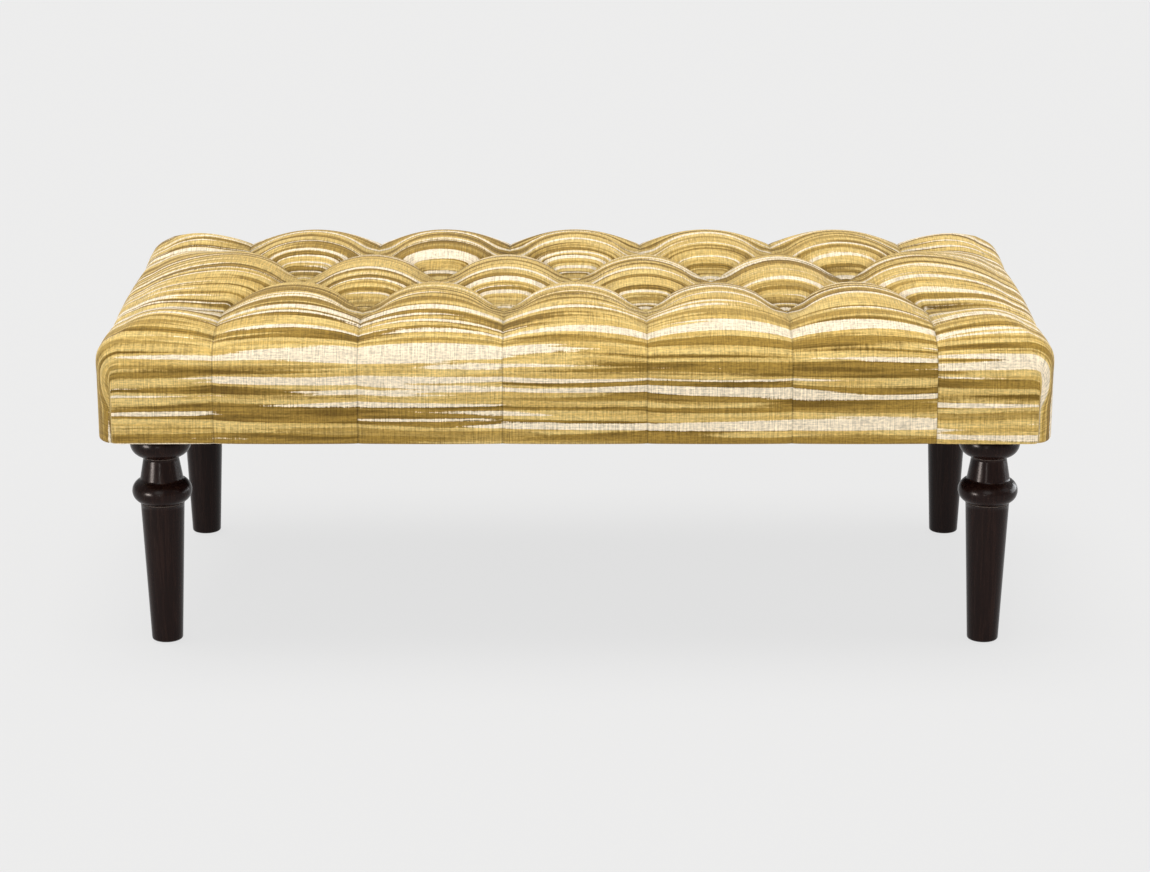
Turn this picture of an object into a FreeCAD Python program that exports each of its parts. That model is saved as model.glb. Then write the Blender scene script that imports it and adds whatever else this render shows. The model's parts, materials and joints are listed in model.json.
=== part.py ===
"""Tufted footstool: a padded, diamond-tufted seat on a screwed wooden frame with four turned legs.

Millimetres, +Z up. The origin lies on the floor under the middle of the seat, X runs along the
length and the front faces -Y.
"""
import FreeCAD, Part
import math
import os
import Sketcher

Vector = FreeCAD.Vector
Rotation = FreeCAD.Rotation
Placement = FreeCAD.Placement

# Driving dimensions
SIZES = {
    # Seat outline at the hem of the cover
    "seat_length": 1224,
    "seat_depth": 624,
    # Soft layers
    "cover_thickness": 1.2,
    "batting_thickness": 12,
    "dust_cover_thickness": 1,
    "dust_cover_margin": 10,
    "hem_setback": 6,
    # Foam heights above the deck
    "foam_edge_height": 13,
    "foam_tuft_height": 52,
    "foam_crown_height": 80,
    # Tufting
    "tuft_pitch": 185,
    "tuft_row_spacing": 168,
    "tuft_flat": 2,
    "crease_rise": 7,
    "pleat_rise": 2,
    "pleat_crest_offset": 32,
    "lobe_crest_setback": 13,
    "corner_crest_offset": 60,
    "pleat_pinch": 4,
    "lobe_belly": 4,
    "end_roll_tuck": 1,
    # Bores for the tuft twines
    "foam_bore_radius": 9,
    "batting_bore_radius": 4,
    "deck_bore_radius": 4,
    # Wooden frame
    "rail_height": 58,
    "rail_thickness": 22,
    "deck_thickness": 12,
    "frame_corner_radius": 26,
    "block_side": 120,
    "block_end": 25,
    "block_height": 40,
    # Legs
    "leg_length": 289,
    "leg_inset_end": 71.5,
    "leg_inset_front": 77,
    "foot_radius": 20.5,
    "foot_rounding": 3,
    "shaft_top_radius": 28.75,
    "collar_height": 30,
    "collar_radius": 39,
    "neck_length": 32,
    "neck_foot_radius": 28.25,
    "neck_top_radius": 22.9,
    "bead_height": 36,
    "bead_radius": 39.75,
    # Leg fixings
    "bolt_radius": 4,
    "bolt_depth": 45,
    "bolt_point": 6,
    "bolt_chamfer": 1,
    "bolt_stickout": 2,
    "nut_barrel_radius": 5.5,
    "nut_barrel_length": 14,
    "nut_flange_radius": 11,
    "nut_flange_thickness": 1.6,
    "glide_radius": 12,
    "glide_height": 2,
    "glide_edge": 0.8,
    "nail_radius": 1.2,
    "nail_length": 14,
    "nail_point": 3,
    # Screws
    "screw_radius": 2,
    "screw_head_radius": 4,
    "screw_head_height": 2.6,
    "screw_point": 6,
    "rail_screw_length": 50,
    "rail_screw_sink": 6,
    "block_screw_length": 40,
    "block_screw_margin": 15,
    "deck_screw_length": 38,
    "deck_screw_spacing": 245,
    # Tuft ties
    "twine_radius": 1.2,
    "knot_radius": 3,
    "knot_height": 4,
    "washer_radius": 9,
    "washer_thickness": 2,
    # Room between pieces that slip into each other
    "fit_clearance": 0.15,
}

# Sizes and levels that follow from the driving dimensions
WORKED = {
    "leg_top": "Sizes.glide_height + Sizes.leg_length",
    "hem_level": "Sizes.glide_height + Sizes.leg_length + Sizes.dust_cover_thickness",
    "frame_level": "Worked.hem_level + Sizes.cover_thickness",
    "deck_level": "Worked.frame_level + Sizes.rail_height",
    "deck_top": "Worked.deck_level + Sizes.deck_thickness",
    "frame_length": "Sizes.seat_length - 2 * (Sizes.batting_thickness + Sizes.cover_thickness)",
    "frame_depth": "Sizes.seat_depth - 2 * (Sizes.batting_thickness + Sizes.cover_thickness)",
    "rail_span": "Worked.frame_depth - 2 * Sizes.rail_thickness",
    "block_x": "Worked.frame_length / 2 - Sizes.rail_thickness",
    "block_y": "Worked.frame_depth / 2 - Sizes.rail_thickness",
    "block_top": "Worked.hem_level + Sizes.block_height",
    "cross_rail_x": "0.75 * Sizes.tuft_pitch",
    "last_tuft_x": "2.5 * Sizes.tuft_pitch",
    "leg_x": "Sizes.seat_length / 2 - Sizes.leg_inset_end",
    "leg_y": "Sizes.seat_depth / 2 - Sizes.leg_inset_front",
    "tuft_level": "Worked.deck_top + Sizes.foam_tuft_height + Sizes.batting_thickness",
    "bolt_bore": "Sizes.bolt_radius + Sizes.fit_clearance",
    "bolt_length": "Sizes.bolt_depth + Worked.block_top - Worked.leg_top"
                   " + Sizes.nut_flange_thickness + Sizes.bolt_stickout",
    "bead_level": "Sizes.leg_length - Sizes.bead_height",
    "neck_level": "Worked.bead_level - Sizes.neck_length",
    "collar_level": "Worked.neck_level - Sizes.collar_height",
    "dust_cover_length": "Sizes.seat_length - 2 * Sizes.dust_cover_margin",
    "dust_cover_depth": "Sizes.seat_depth - 2 * Sizes.dust_cover_margin",
    "twine_length": "Worked.tuft_level - Worked.deck_level + Sizes.washer_thickness"
                    " + Sizes.knot_height - Sizes.fit_clearance",
}

# Shape of the padding: share of a lobe's height that its edge roll takes up, sections in each
# half of a lobe, and where the sections of a seat end stand between the last tuft and the end wall
ROLL_SHARE = 0.75
LOBE_SECTIONS = 5
END_STATIONS = (0, 0.3, 0.6, 0.8, 0.93, 1)

# Corners of the seat: name, side along X, side along Y, quarter turns of its block
CORNERS = (
    ("front_left", -1, -1, 0),
    ("front_right", 1, -1, 1),
    ("rear_right", 1, 1, 2),
    ("rear_left", -1, 1, 3),
)

doc = FreeCAD.newDocument("TuftedFootstool")


def fill_sheet(name, cells, prefix):
    """Make a sheet with one named cell to a row."""
    sheet = doc.addObject("Spreadsheet::Sheet", name)
    for row, (alias, content) in enumerate(cells.items(), start=1):
        sheet.set(f"A{row}", alias)
        sheet.setAlias(f"B{row}", alias)
        sheet.set(f"B{row}", f"{prefix}{content}")
    doc.recompute()
    return sheet


sizes = fill_sheet("Sizes", SIZES, "")
worked = fill_sheet("Worked", WORKED, "=")


def value(expression):
    """Work out an expression on the sheets as a number."""
    return float(sizes.evalExpression(expression))


def bind(thing, **expressions):
    """Tie properties of an object to expressions on the sheets."""
    for name, expression in expressions.items():
        thing.setExpression(name, expression)


def place(thing, x, y, z, rotation=Rotation()):
    """Put an object at a point given by three expressions."""
    thing.Placement = Placement(Vector(), rotation)
    for axis, expression in zip("xyz", (x, y, z)):
        thing.setExpression(f"Placement.Base.{axis}", expression)


def plane_of(body, role):
    """Find one of a body's own origin planes."""
    return next(item for item in body.Origin.OriginFeatures if item.Role == role)


def pin_point(sketch, geometry, corner, across, up):
    """Fix a sketch point by its two distances from the origin, or on an axis where one is zero."""
    for kind, axis, expression in (("DistanceX", -2, across), ("DistanceY", -1, up)):
        if expression == "0":
            sketch.addConstraint(Sketcher.Constraint("PointOnObject", geometry, corner, axis))
            continue
        size = value(expression)
        index = sketch.addConstraint(Sketcher.Constraint(kind, -1, 1, geometry, corner, size))
        sketch.setExpression(f"Constraints[{index}]", expression)


def draw_outline(sketch, outline):
    """Draw a closed outline of lines and arcs.

    Each corner is (across, up) or (across, up, bulge) in expressions. A bulge is the height of the
    arc that leads to the next corner, to the right of the way there.
    """
    points = [Vector(value(corner[0]), value(corner[1]), 0) for corner in outline]
    for number, corner in enumerate(outline):
        start = points[number]
        end = points[(number + 1) % len(points)]
        if len(corner) == 2:
            sketch.addGeometry(Part.LineSegment(start, end))
            pin_point(sketch, number, 1, corner[0], corner[1])
            follow = outline[(number + 1) % len(outline)]
            pin_point(sketch, number, 2, follow[0], follow[1])
            continue
        draw_bulge(sketch, number, outline, start, end)


def draw_bulge(sketch, number, outline, start, end):
    """Draw one arc of an outline, bound by its ends and its radius."""
    across, up, bulge = outline[number]
    follow = outline[(number + 1) % len(outline)]
    chord = end - start
    outward = Vector(chord.y, -chord.x, 0).normalize()
    middle = (start + end) / 2 + outward * value(bulge)
    sketch.addGeometry(Part.Arc(start, middle, end))
    first = 1 if sketch.getPoint(number, 1).isEqual(start, 1e-6) else 2
    pin_point(sketch, number, first, across, up)
    pin_point(sketch, number, 3 - first, follow[0], follow[1])
    square = f"(({follow[0]}) - ({across}))^2 + (({follow[1]}) - ({up}))^2"
    radius = f"(({square}) / 4 + ({bulge})^2) / (2 * ({bulge}))"
    index = sketch.addConstraint(Sketcher.Constraint("Radius", number, value(radius)))
    sketch.setExpression(f"Constraints[{index}]", radius)


def draw_circle(sketch, across, up, radius):
    """Draw a circle bound by its centre and radius."""
    centre = Vector(value(across), value(up), 0)
    number = sketch.addGeometry(Part.Circle(centre, Vector(0, 0, 1), value(radius)))
    pin_point(sketch, number, 3, across, up)
    index = sketch.addConstraint(Sketcher.Constraint("Radius", number, value(radius)))
    sketch.setExpression(f"Constraints[{index}]", radius)


def sketched_body(name, role):
    """Start a body with an empty sketch on one of its origin planes."""
    body = doc.addObject("PartDesign::Body", name)
    sketch = body.newObject("Sketcher::SketchObject", f"{name}_sketch")
    sketch.AttachmentSupport = [(plane_of(body, role), "")]
    sketch.MapMode = "FlatFace"
    doc.recompute()
    return body, sketch


def turned(name, outline):
    """Turn an outline of (radius, height) corners about the upright axis."""
    body, sketch = sketched_body(name, "XZ_Plane")
    draw_outline(sketch, outline)
    turning = body.newObject("PartDesign::Revolution", f"{name}_turning")
    turning.Profile = sketch
    turning.ReferenceAxis = (sketch, ["V_Axis"])
    turning.Angle = 360
    doc.recompute()
    return body


def padded(name, outline, circles, height):
    """Raise a flat outline with round holes to a height."""
    body, sketch = sketched_body(name, "XY_Plane")
    draw_outline(sketch, outline)
    for across, up, radius in circles:
        draw_circle(sketch, across, up, radius)
    pad = body.newObject("PartDesign::Pad", f"{name}_pad")
    pad.Profile = sketch
    pad.setExpression("Length", height)
    doc.recompute()
    return body


def shape_piece(name, shape):
    """Keep a worked-out shape as a piece of the document."""
    piece = doc.addObject("Part::Feature", name)
    piece.Shape = shape
    return piece


def copies(pattern, placements):
    """Gather placed copies of a body's shape."""
    shapes = []
    for placement in placements:
        shape = pattern.Shape.copy()
        shape.Placement = placement.multiply(shape.Placement)
        shapes.append(shape)
    return Part.makeCompound(shapes)


# Places of the tufts and screws


def tuft_places():
    """List the tufts: outer rows of six, and a middle row of five between them."""
    pitch = sizes.tuft_pitch
    row = sizes.tuft_row_spacing
    outer = [(step * pitch, side * row) for side in (-1, 1) for step in (-2.5, -1.5, -0.5, 0.5, 1.5, 2.5)]
    middle = [(step * pitch, 0) for step in (-2, -1, 0, 1, 2)]
    return outer + middle


def driven(head, outward, length):
    """Place a screw, drawn standing on its point, with its head at a point and facing outward."""
    return Placement(head - outward * length, Rotation(Vector(0, 0, 1), outward))


def rail_screw_places():
    """Two screws through each long rail into each end rail and cross rail."""
    end_x = worked.frame_length / 2 - sizes.rail_thickness / 2
    heights = [worked.frame_level + share * sizes.rail_height for share in (0.25, 0.75)]
    head_y = worked.frame_depth / 2 - sizes.rail_screw_sink
    places = []
    for side in (-1, 1):
        for x in (-end_x, -worked.cross_rail_x, worked.cross_rail_x, end_x):
            for height in heights:
                head = Vector(x, side * head_y, height)
                places.append(driven(head, Vector(0, side, 0), sizes.rail_screw_length))
    return places


def block_screw_places():
    """Two screws through each corner block, one into either rail."""
    along = sizes.block_side - sizes.block_screw_margin
    height = worked.hem_level + sizes.block_height / 2
    places = []
    for _, side_x, side_y, _ in CORNERS:
        into_long = Vector(
            side_x * (worked.block_x - along), side_y * (worked.block_y - sizes.block_end), height)
        into_end = Vector(
            side_x * (worked.block_x - sizes.block_end), side_y * (worked.block_y - along), height)
        places.append(driven(into_long, Vector(0, -side_y, 0), sizes.block_screw_length))
        places.append(driven(into_end, Vector(-side_x, 0, 0), sizes.block_screw_length))
    return places


def deck_screw_places():
    """Screws down through the deck into the rails and cross rails."""
    long_y = worked.frame_depth / 2 - sizes.rail_thickness / 2
    end_x = worked.frame_length / 2 - sizes.rail_thickness / 2
    spots = [(step * sizes.deck_screw_spacing, side * long_y) for side in (-1, 1) for step in range(-2, 3)]
    spots += [(side * end_x, 0) for side in (-1, 1)]
    spots += [(x, side * worked.rail_span / 4)
              for x in (-worked.cross_rail_x, worked.cross_rail_x) for side in (-1, 1)]
    up = Vector(0, 0, 1)
    return [driven(Vector(x, y, worked.deck_top), up, sizes.deck_screw_length) for x, y in spots]


# Screws and the bores that take them


def screw_outline(length, room, access):
    """Outline a countersunk screw standing on its point, with room round it and access above it."""
    shank = f"Sizes.screw_radius + {room}"
    head = f"Sizes.screw_head_radius + {room}"
    outline = [
        ("0", "0"),
        (shank, "Sizes.screw_point"),
        (shank, f"{length} - Sizes.screw_head_height"),
        (head, length),
    ]
    if access != "0":
        outline.append((head, f"{length} + {access}"))
    outline.append(("0", f"{length} + {access}"))
    return outline


def screw_group(name, length, places, access):
    """Make one group of screws, and the shape of the bores that they sit in."""
    screw = turned(f"{name}_pattern", screw_outline(length, "0", "0"))
    bore = turned(f"{name}_bore", screw_outline(length, "Sizes.fit_clearance", access))
    shape_piece(name, copies(screw, places))
    return copies(bore, places)


bores = [
    screw_group("rail_screws", "Sizes.rail_screw_length", rail_screw_places(), "2 * Sizes.rail_screw_sink"),
    screw_group("block_screws", "Sizes.block_screw_length", block_screw_places(), "Sizes.block_side"),
    screw_group("deck_screws", "Sizes.deck_screw_length", deck_screw_places(), "Sizes.screw_head_height"),
]
screw_bores = shape_piece("screw_bores", Part.makeCompound(bores))


# Wooden frame

QUARTER_ARC = "Sizes.frame_corner_radius * (1 - sqrt(0.5))"


def make_frame_block():
    """Make the outer form of the frame and deck, with rounded upright corners."""
    length = "Worked.frame_length"
    depth = "Worked.frame_depth"
    radius = "Sizes.frame_corner_radius"
    outline = [
        (radius, "0"),
        (f"{length} - {radius}", "0", QUARTER_ARC),
        (length, radius),
        (length, f"{depth} - {radius}", QUARTER_ARC),
        (f"{length} - {radius}", depth),
        (radius, depth, QUARTER_ARC),
        ("0", f"{depth} - {radius}"),
        ("0", radius, QUARTER_ARC),
    ]
    block = padded("frame_block", outline, [], "Sizes.rail_height + Sizes.deck_thickness")
    place(block, "-Worked.frame_length / 2", "-Worked.frame_depth / 2", "Worked.frame_level")
    return block


frame_block = make_frame_block()


def bored_board(name, length, width, height, corner):
    """Cut a board to the frame's outer form and bore it for its screws."""
    board = doc.addObject("Part::Box", f"{name}_board")
    bind(board, Length=length, Width=width, Height=height)
    place(board, *corner)
    trimmed = doc.addObject("Part::Common", f"{name}_trimmed")
    trimmed.Base = board
    trimmed.Tool = frame_block
    bored = doc.addObject("Part::Cut", name)
    bored.Base = trimmed
    bored.Tool = screw_bores
    return bored


def make_rails():
    """Make the four outer rails and the two cross rails."""
    thick = "Sizes.rail_thickness"
    tall = "Sizes.rail_height"
    level = "Worked.frame_level"
    left = "-Worked.frame_length / 2"
    front = "-Worked.frame_depth / 2"
    inner = "-Worked.rail_span / 2"
    bored_board("front_rail", "Worked.frame_length", thick, tall, (left, front, level))
    bored_board("rear_rail", "Worked.frame_length", thick, tall, (left, "Worked.rail_span / 2", level))
    bored_board("left_rail", thick, "Worked.rail_span", tall, (left, inner, level))
    bored_board("right_rail", thick, "Worked.rail_span", tall, ("Worked.block_x", inner, level))
    bored_board("left_cross_rail", thick, "Worked.rail_span", tall,
                (f"-Worked.cross_rail_x - {thick} / 2", inner, level))
    bored_board("right_cross_rail", thick, "Worked.rail_span", tall,
                (f"Worked.cross_rail_x - {thick} / 2", inner, level))


def tuft_bores(radius):
    """Make upright bores at the tufts, longer than any layer is thick."""
    height = worked.tuft_level
    return Part.makeCompound([Part.makeCylinder(radius, height, Vector(x, y, worked.deck_level - 1))
                              for x, y in tuft_places()])


def make_deck():
    """Make the plywood deck with a hole under each tuft."""
    board = bored_board("deck_blank", "Worked.frame_length", "Worked.frame_depth", "Sizes.deck_thickness",
                        ("-Worked.frame_length / 2", "-Worked.frame_depth / 2", "Worked.deck_level"))
    holes = shape_piece("deck_bores", tuft_bores(sizes.deck_bore_radius))
    deck = doc.addObject("Part::Cut", "deck_board")
    deck.Base = board
    deck.Tool = holes


def make_corner_blocks():
    """Make the four corner blocks, each with its bore for the insert nut and two screw bores."""
    outline = [
        ("0", "0"),
        ("Sizes.block_side", "0"),
        ("Sizes.block_side", "Sizes.block_end"),
        ("Sizes.block_end", "Sizes.block_side"),
        ("0", "Sizes.block_side"),
    ]
    bore_x = "Worked.block_x - Worked.leg_x"
    bore_y = "Worked.block_y - Worked.leg_y"
    bore = "Sizes.nut_barrel_radius + Sizes.fit_clearance"
    for name, side_x, side_y, turns in CORNERS:
        spot = (bore_x, bore_y, bore) if turns % 2 == 0 else (bore_y, bore_x, bore)
        blank = padded(f"corner_blank_{name}", outline, [spot], "Sizes.block_height")
        turn = Rotation(Vector(0, 0, 1), 90 * turns)
        place(blank, f"{side_x} * Worked.block_x", f"{side_y} * Worked.block_y", "Worked.hem_level", turn)
        block = doc.addObject("Part::Cut", f"corner_block_{name}")
        block.Base = blank
        block.Tool = screw_bores


make_rails()
make_deck()
make_corner_blocks()


# Padded layers


class Flank:
    """Side profile of a lobe, from its wall over the edge roll and the crest down to a crease.

    The roll leaves the wall upright, the outer arc runs on from the roll to the level crest, and
    the inner arc falls from the crest to the crease. Distances run outward from the seat's middle.
    """

    def __init__(self, wall, edge, crest_out, crest, crease_out, crease):
        height = crest - edge
        self.wall = wall
        self.edge = edge
        self.crest_out = crest_out
        self.crest = crest
        self.crease_out = crease_out
        self.crease = crease
        self.roll = ROLL_SHARE * height
        reach = wall - self.roll - crest_out
        self.arch = (reach ** 2 + height ** 2 - self.roll ** 2) / (2 * (height - self.roll))
        self.lean = math.atan2(edge - crest + self.arch, reach)
        run = crest_out - crease_out
        rise = crest - crease
        self.fall = (run ** 2 + rise ** 2) / (2 * rise)

    def on_roll(self, angle):
        """Give the point of the roll at an angle above level."""
        return (self.wall - self.roll + self.roll * math.cos(angle), self.edge + self.roll * math.sin(angle))

    def on_arch(self, angle):
        """Give the point of the outer arc at an angle above level."""
        centre = self.crest - self.arch
        return (self.crest_out + self.arch * math.cos(angle), centre + self.arch * math.sin(angle))

    def on_fall(self):
        """Give the middle point of the inner arc."""
        half = math.asin((self.crest_out - self.crease_out) / self.fall) / 2
        return (self.crest_out - self.fall * math.sin(half), self.crest - self.fall * (1 - math.cos(half)))

    def height_at(self, out):
        """Give the height of the profile at a distance from the middle."""
        shoulder = self.on_roll(self.lean)[0]
        if out > shoulder:
            across = out - (self.wall - self.roll)
            return self.edge + math.sqrt(max(self.roll ** 2 - across ** 2, 0))
        across = out - self.crest_out
        radius = self.arch if across > 0 else self.fall
        return self.crest - radius + math.sqrt(radius ** 2 - across ** 2)

    def curves(self, spot):
        """List the arcs from the wall to the crease, through points placed by spot(out, height)."""
        wall = spot(self.wall, self.edge)
        shoulder = spot(*self.on_roll(self.lean))
        crest = spot(self.crest_out, self.crest)
        crease = spot(self.crease_out, self.crease)
        return [
            Part.Arc(wall, spot(*self.on_roll(self.lean / 2)), shoulder),
            Part.Arc(shoulder, spot(*self.on_arch((self.lean + math.pi / 2) / 2)), crest),
            Part.Arc(crest, spot(*self.on_fall()), crease),
        ]


def ease(share):
    """Rise fast at first and level off at 1."""
    return 1 - (1 - share) ** 2


def blend(first, last, share):
    """Go from one value to another."""
    return first + (last - first) * share


class Cushion:
    """One padded form: the foam pad itself, or a layer that lies a given swell outside it."""

    def __init__(self, swell, floor):
        self.floor = floor
        self.half_length = worked.frame_length / 2 + swell
        self.half_depth = worked.frame_depth / 2 + swell
        self.corner = sizes.frame_corner_radius + swell
        self.edge = worked.deck_top + sizes.foam_edge_height
        self.tuft = worked.deck_top + sizes.foam_tuft_height + swell
        self.crown = worked.deck_top + sizes.foam_crown_height + swell
        self.pleat_crest = self.tuft + sizes.pleat_rise
        self.row = sizes.tuft_row_spacing

    def section(self, x, half_depth, flank, middle):
        """Draw one upright section across the seat, alike to the front and the back."""
        def front(out, height):
            return Vector(x, -out, height)

        def back(out, height):
            return Vector(x, out, height)

        crease = (flank.crease_out, flank.crease)
        if middle > flank.crease:
            over = Part.Arc(front(*crease), Vector(x, 0, middle), back(*crease))
        else:
            over = Part.LineSegment(front(*crease), back(*crease))
        front_wall = Part.LineSegment(front(half_depth, self.floor), front(flank.wall, flank.edge))
        back_wall = Part.LineSegment(back(half_depth, self.floor), back(flank.wall, flank.edge))
        floor = Part.LineSegment(back(half_depth, self.floor), front(half_depth, self.floor))
        curves = [floor, front_wall] + flank.curves(front) + [over]
        curves += flank.curves(back)[::-1] + [back_wall]
        return Part.Wire([curve.toShape() for curve in curves])

    def lobe_section(self, share):
        """Section between a pleat through two outer tufts (0) and a tuft of the middle row (1)."""
        wall = self.half_depth + blend(-sizes.pleat_pinch, sizes.lobe_belly, ease(share))
        crest_out = self.row + blend(sizes.pleat_crest_offset, -sizes.lobe_crest_setback, ease(share))
        crest = blend(self.pleat_crest, self.crown, ease(share))
        crease_out = blend(self.row, sizes.tuft_flat / 2, share)
        crease = self.tuft + 4 * sizes.crease_rise * share * (1 - share)
        middle = blend(self.crown, self.tuft, share ** 2)
        flank = Flank(wall, self.edge, crest_out, crest, crease_out, crease)
        return self.section(share * sizes.tuft_pitch / 2, self.half_depth, flank, middle)

    def end_section(self, share):
        """Section between the last outer tufts (0) and the end wall (1)."""
        start = worked.last_tuft_x
        x = blend(start, self.half_length, share)
        roll_end = self.half_length + sizes.end_roll_tuck
        over_crown = Flank(roll_end, self.edge, start, self.crown, start - 1, self.tuft)
        pleat_crest_x = start + sizes.pleat_crest_offset
        over_pleat = Flank(roll_end, self.edge, pleat_crest_x, self.pleat_crest, start, self.tuft)
        middle = over_crown.height_at(x)
        crease = over_pleat.height_at(x)
        rise = min(1, (x - start) / (sizes.tuft_pitch / 2))
        crest = middle - (self.crown - self.pleat_crest) * (1 - rise) ** 2
        crest_out = self.row + blend(sizes.pleat_crest_offset, sizes.corner_crest_offset, rise)
        round_off = max(0, x - (self.half_length - self.corner))
        half_depth = self.half_depth - self.corner + math.sqrt(max(self.corner ** 2 - round_off ** 2, 0))
        crest_out = min(crest_out, blend(self.row, half_depth, 0.6))
        wall = half_depth - sizes.pleat_pinch * (1 - rise) ** 2
        flank = Flank(wall, self.edge, crest_out, crest, self.row, crease)
        return self.section(x, half_depth, flank, middle)

    def skin(self, sections, open_planes):
        """Loft through sections, without the end faces that lie in the given planes."""
        loft = Part.makeLoft(sections, True, False)
        faces = []
        for face in loft.Faces:
            box = face.BoundBox
            joined = any(abs(box.XMin - x) < 1e-6 and abs(box.XMax - x) < 1e-6 for x in open_planes)
            if not joined:
                faces.append(face)
        return Part.makeCompound(faces)

    def solid(self):
        """Set the lobes side by side, close the ends and make one solid of them."""
        half = sizes.tuft_pitch / 2
        shares = [number / (LOBE_SECTIONS - 1) for number in range(LOBE_SECTIONS)]
        near = self.skin([self.lobe_section(share) for share in shares], (0, half))
        far = near.mirror(Vector(half, 0, 0), Vector(1, 0, 0))
        right = self.skin([self.end_section(share) for share in END_STATIONS], (worked.last_tuft_x,))
        left = right.mirror(Vector(), Vector(1, 0, 0))
        faces = right.Faces + left.Faces
        for step in (-2.5, -1.5, -0.5, 0.5, 1.5):
            shift = Vector(step * sizes.tuft_pitch, 0, 0)
            faces += near.translated(shift).Faces + far.translated(shift).Faces
        shell = Part.makeShell(faces)
        shell.sewShape()
        solid = Part.makeSolid(shell)
        if solid.Volume < 0:
            solid.reverse()
        return solid


def make_padding():
    """Make the foam pad, the batting over it and the cover round both."""
    batting_swell = sizes.batting_thickness
    cover_swell = batting_swell + sizes.cover_thickness
    foam_form = Cushion(0, worked.deck_top).solid()
    batting_form = Cushion(batting_swell, worked.frame_level).solid()
    cover_form = Cushion(cover_swell, worked.hem_level).solid()
    shape_piece("foam_pad", foam_form.cut(tuft_bores(sizes.foam_bore_radius)))
    batting = batting_form.cut(foam_form).cut(frame_block.Shape)
    shape_piece("batting_wrap", batting.cut(tuft_bores(sizes.batting_bore_radius)))
    inset = 2 * (sizes.rail_thickness - sizes.hem_setback)
    length = worked.frame_length - inset
    depth = worked.frame_depth - inset
    mouth = Part.makeBox(length, depth, 2 * sizes.cover_thickness)
    mouth.translate(Vector(-length / 2, -depth / 2, worked.frame_level - 1.5 * sizes.cover_thickness))
    shape_piece("seat_cover", cover_form.cut(batting_form).cut(mouth))


def make_dust_cover():
    """Make the cloth that closes the underside, holed for the leg bolts."""
    length = "Worked.dust_cover_length"
    depth = "Worked.dust_cover_depth"
    outline = [("0", "0"), (length, "0"), (length, depth), ("0", depth)]
    holes = [(f"{length} / 2 + {side_x} * Worked.leg_x", f"{depth} / 2 + {side_y} * Worked.leg_y",
              "Worked.bolt_bore") for _, side_x, side_y, _ in CORNERS]
    cloth = padded("dust_cover", outline, holes, "Sizes.dust_cover_thickness")
    place(cloth, f"-{length} / 2", f"-{depth} / 2", "Worked.leg_top")


def make_tuft_ties():
    """Make the twines that pull the tufts down, and the washers that they are tied against."""
    thread = "Sizes.twine_radius"
    knot = "Sizes.knot_radius"
    twine = turned("twine_pattern", [
        ("0", "0"),
        (knot, "0"),
        (knot, "Sizes.knot_height"),
        (thread, "Sizes.knot_height"),
        (thread, "Worked.twine_length"),
        ("0", "Worked.twine_length"),
    ])
    bore = "Sizes.twine_radius + Sizes.fit_clearance"
    washer = turned("washer_pattern", [
        (bore, "0"),
        ("Sizes.washer_radius", "0"),
        ("Sizes.washer_radius", "Sizes.washer_thickness"),
        (bore, "Sizes.washer_thickness"),
    ])
    washer_level = worked.deck_level - sizes.washer_thickness
    knot_level = washer_level - sizes.knot_height
    shape_piece("tuft_twines", copies(twine, [Placement(Vector(x, y, knot_level), Rotation())
                                              for x, y in tuft_places()]))
    shape_piece("tuft_washers", copies(washer, [Placement(Vector(x, y, washer_level), Rotation())
                                                for x, y in tuft_places()]))


make_padding()
make_dust_cover()
make_tuft_ties()


# Legs and their fixings

LEG_OUTLINE = [
    ("0", "Sizes.nail_length + Sizes.fit_clearance"),
    ("Sizes.nail_radius + Sizes.fit_clearance", "Sizes.nail_length + Sizes.fit_clearance"),
    ("Sizes.nail_radius + Sizes.fit_clearance", "0"),
    ("Sizes.foot_radius - Sizes.foot_rounding", "0", "Sizes.foot_rounding * (1 - sqrt(0.5))"),
    ("Sizes.foot_radius", "Sizes.foot_rounding"),
    ("Sizes.shaft_top_radius", "Worked.collar_level", "Sizes.collar_radius - Sizes.shaft_top_radius"),
    ("Sizes.neck_foot_radius", "Worked.neck_level"),
    ("Sizes.neck_top_radius", "Worked.bead_level", "Sizes.bead_radius - Sizes.neck_top_radius"),
    ("Sizes.neck_top_radius", "Sizes.leg_length"),
    ("Worked.bolt_bore", "Sizes.leg_length"),
    ("Worked.bolt_bore", "Sizes.leg_length - Sizes.bolt_depth - Sizes.fit_clearance"),
    ("0", "Sizes.leg_length - Sizes.bolt_depth - Sizes.fit_clearance"),
]

BOLT_OUTLINE = [
    ("0", "0"),
    ("Sizes.bolt_radius", "Sizes.bolt_point"),
    ("Sizes.bolt_radius", "Worked.bolt_length - Sizes.bolt_chamfer"),
    ("Sizes.bolt_radius - Sizes.bolt_chamfer", "Worked.bolt_length"),
    ("0", "Worked.bolt_length"),
]

NUT_OUTLINE = [
    ("Worked.bolt_bore", "0"),
    ("Sizes.nut_barrel_radius", "0"),
    ("Sizes.nut_barrel_radius", "Sizes.nut_barrel_length"),
    ("Sizes.nut_flange_radius", "Sizes.nut_barrel_length"),
    ("Sizes.nut_flange_radius", "Sizes.nut_barrel_length + Sizes.nut_flange_thickness"),
    ("Worked.bolt_bore", "Sizes.nut_barrel_length + Sizes.nut_flange_thickness"),
]

GLIDE_OUTLINE = [
    ("0", "0"),
    ("Sizes.glide_radius - Sizes.glide_edge", "0"),
    ("Sizes.glide_radius", "Sizes.glide_edge"),
    ("Sizes.glide_radius", "Sizes.glide_height"),
    ("Sizes.nail_radius", "Sizes.glide_height"),
    ("Sizes.nail_radius", "Sizes.glide_height + Sizes.nail_length - Sizes.nail_point"),
    ("0", "Sizes.glide_height + Sizes.nail_length"),
]


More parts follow.
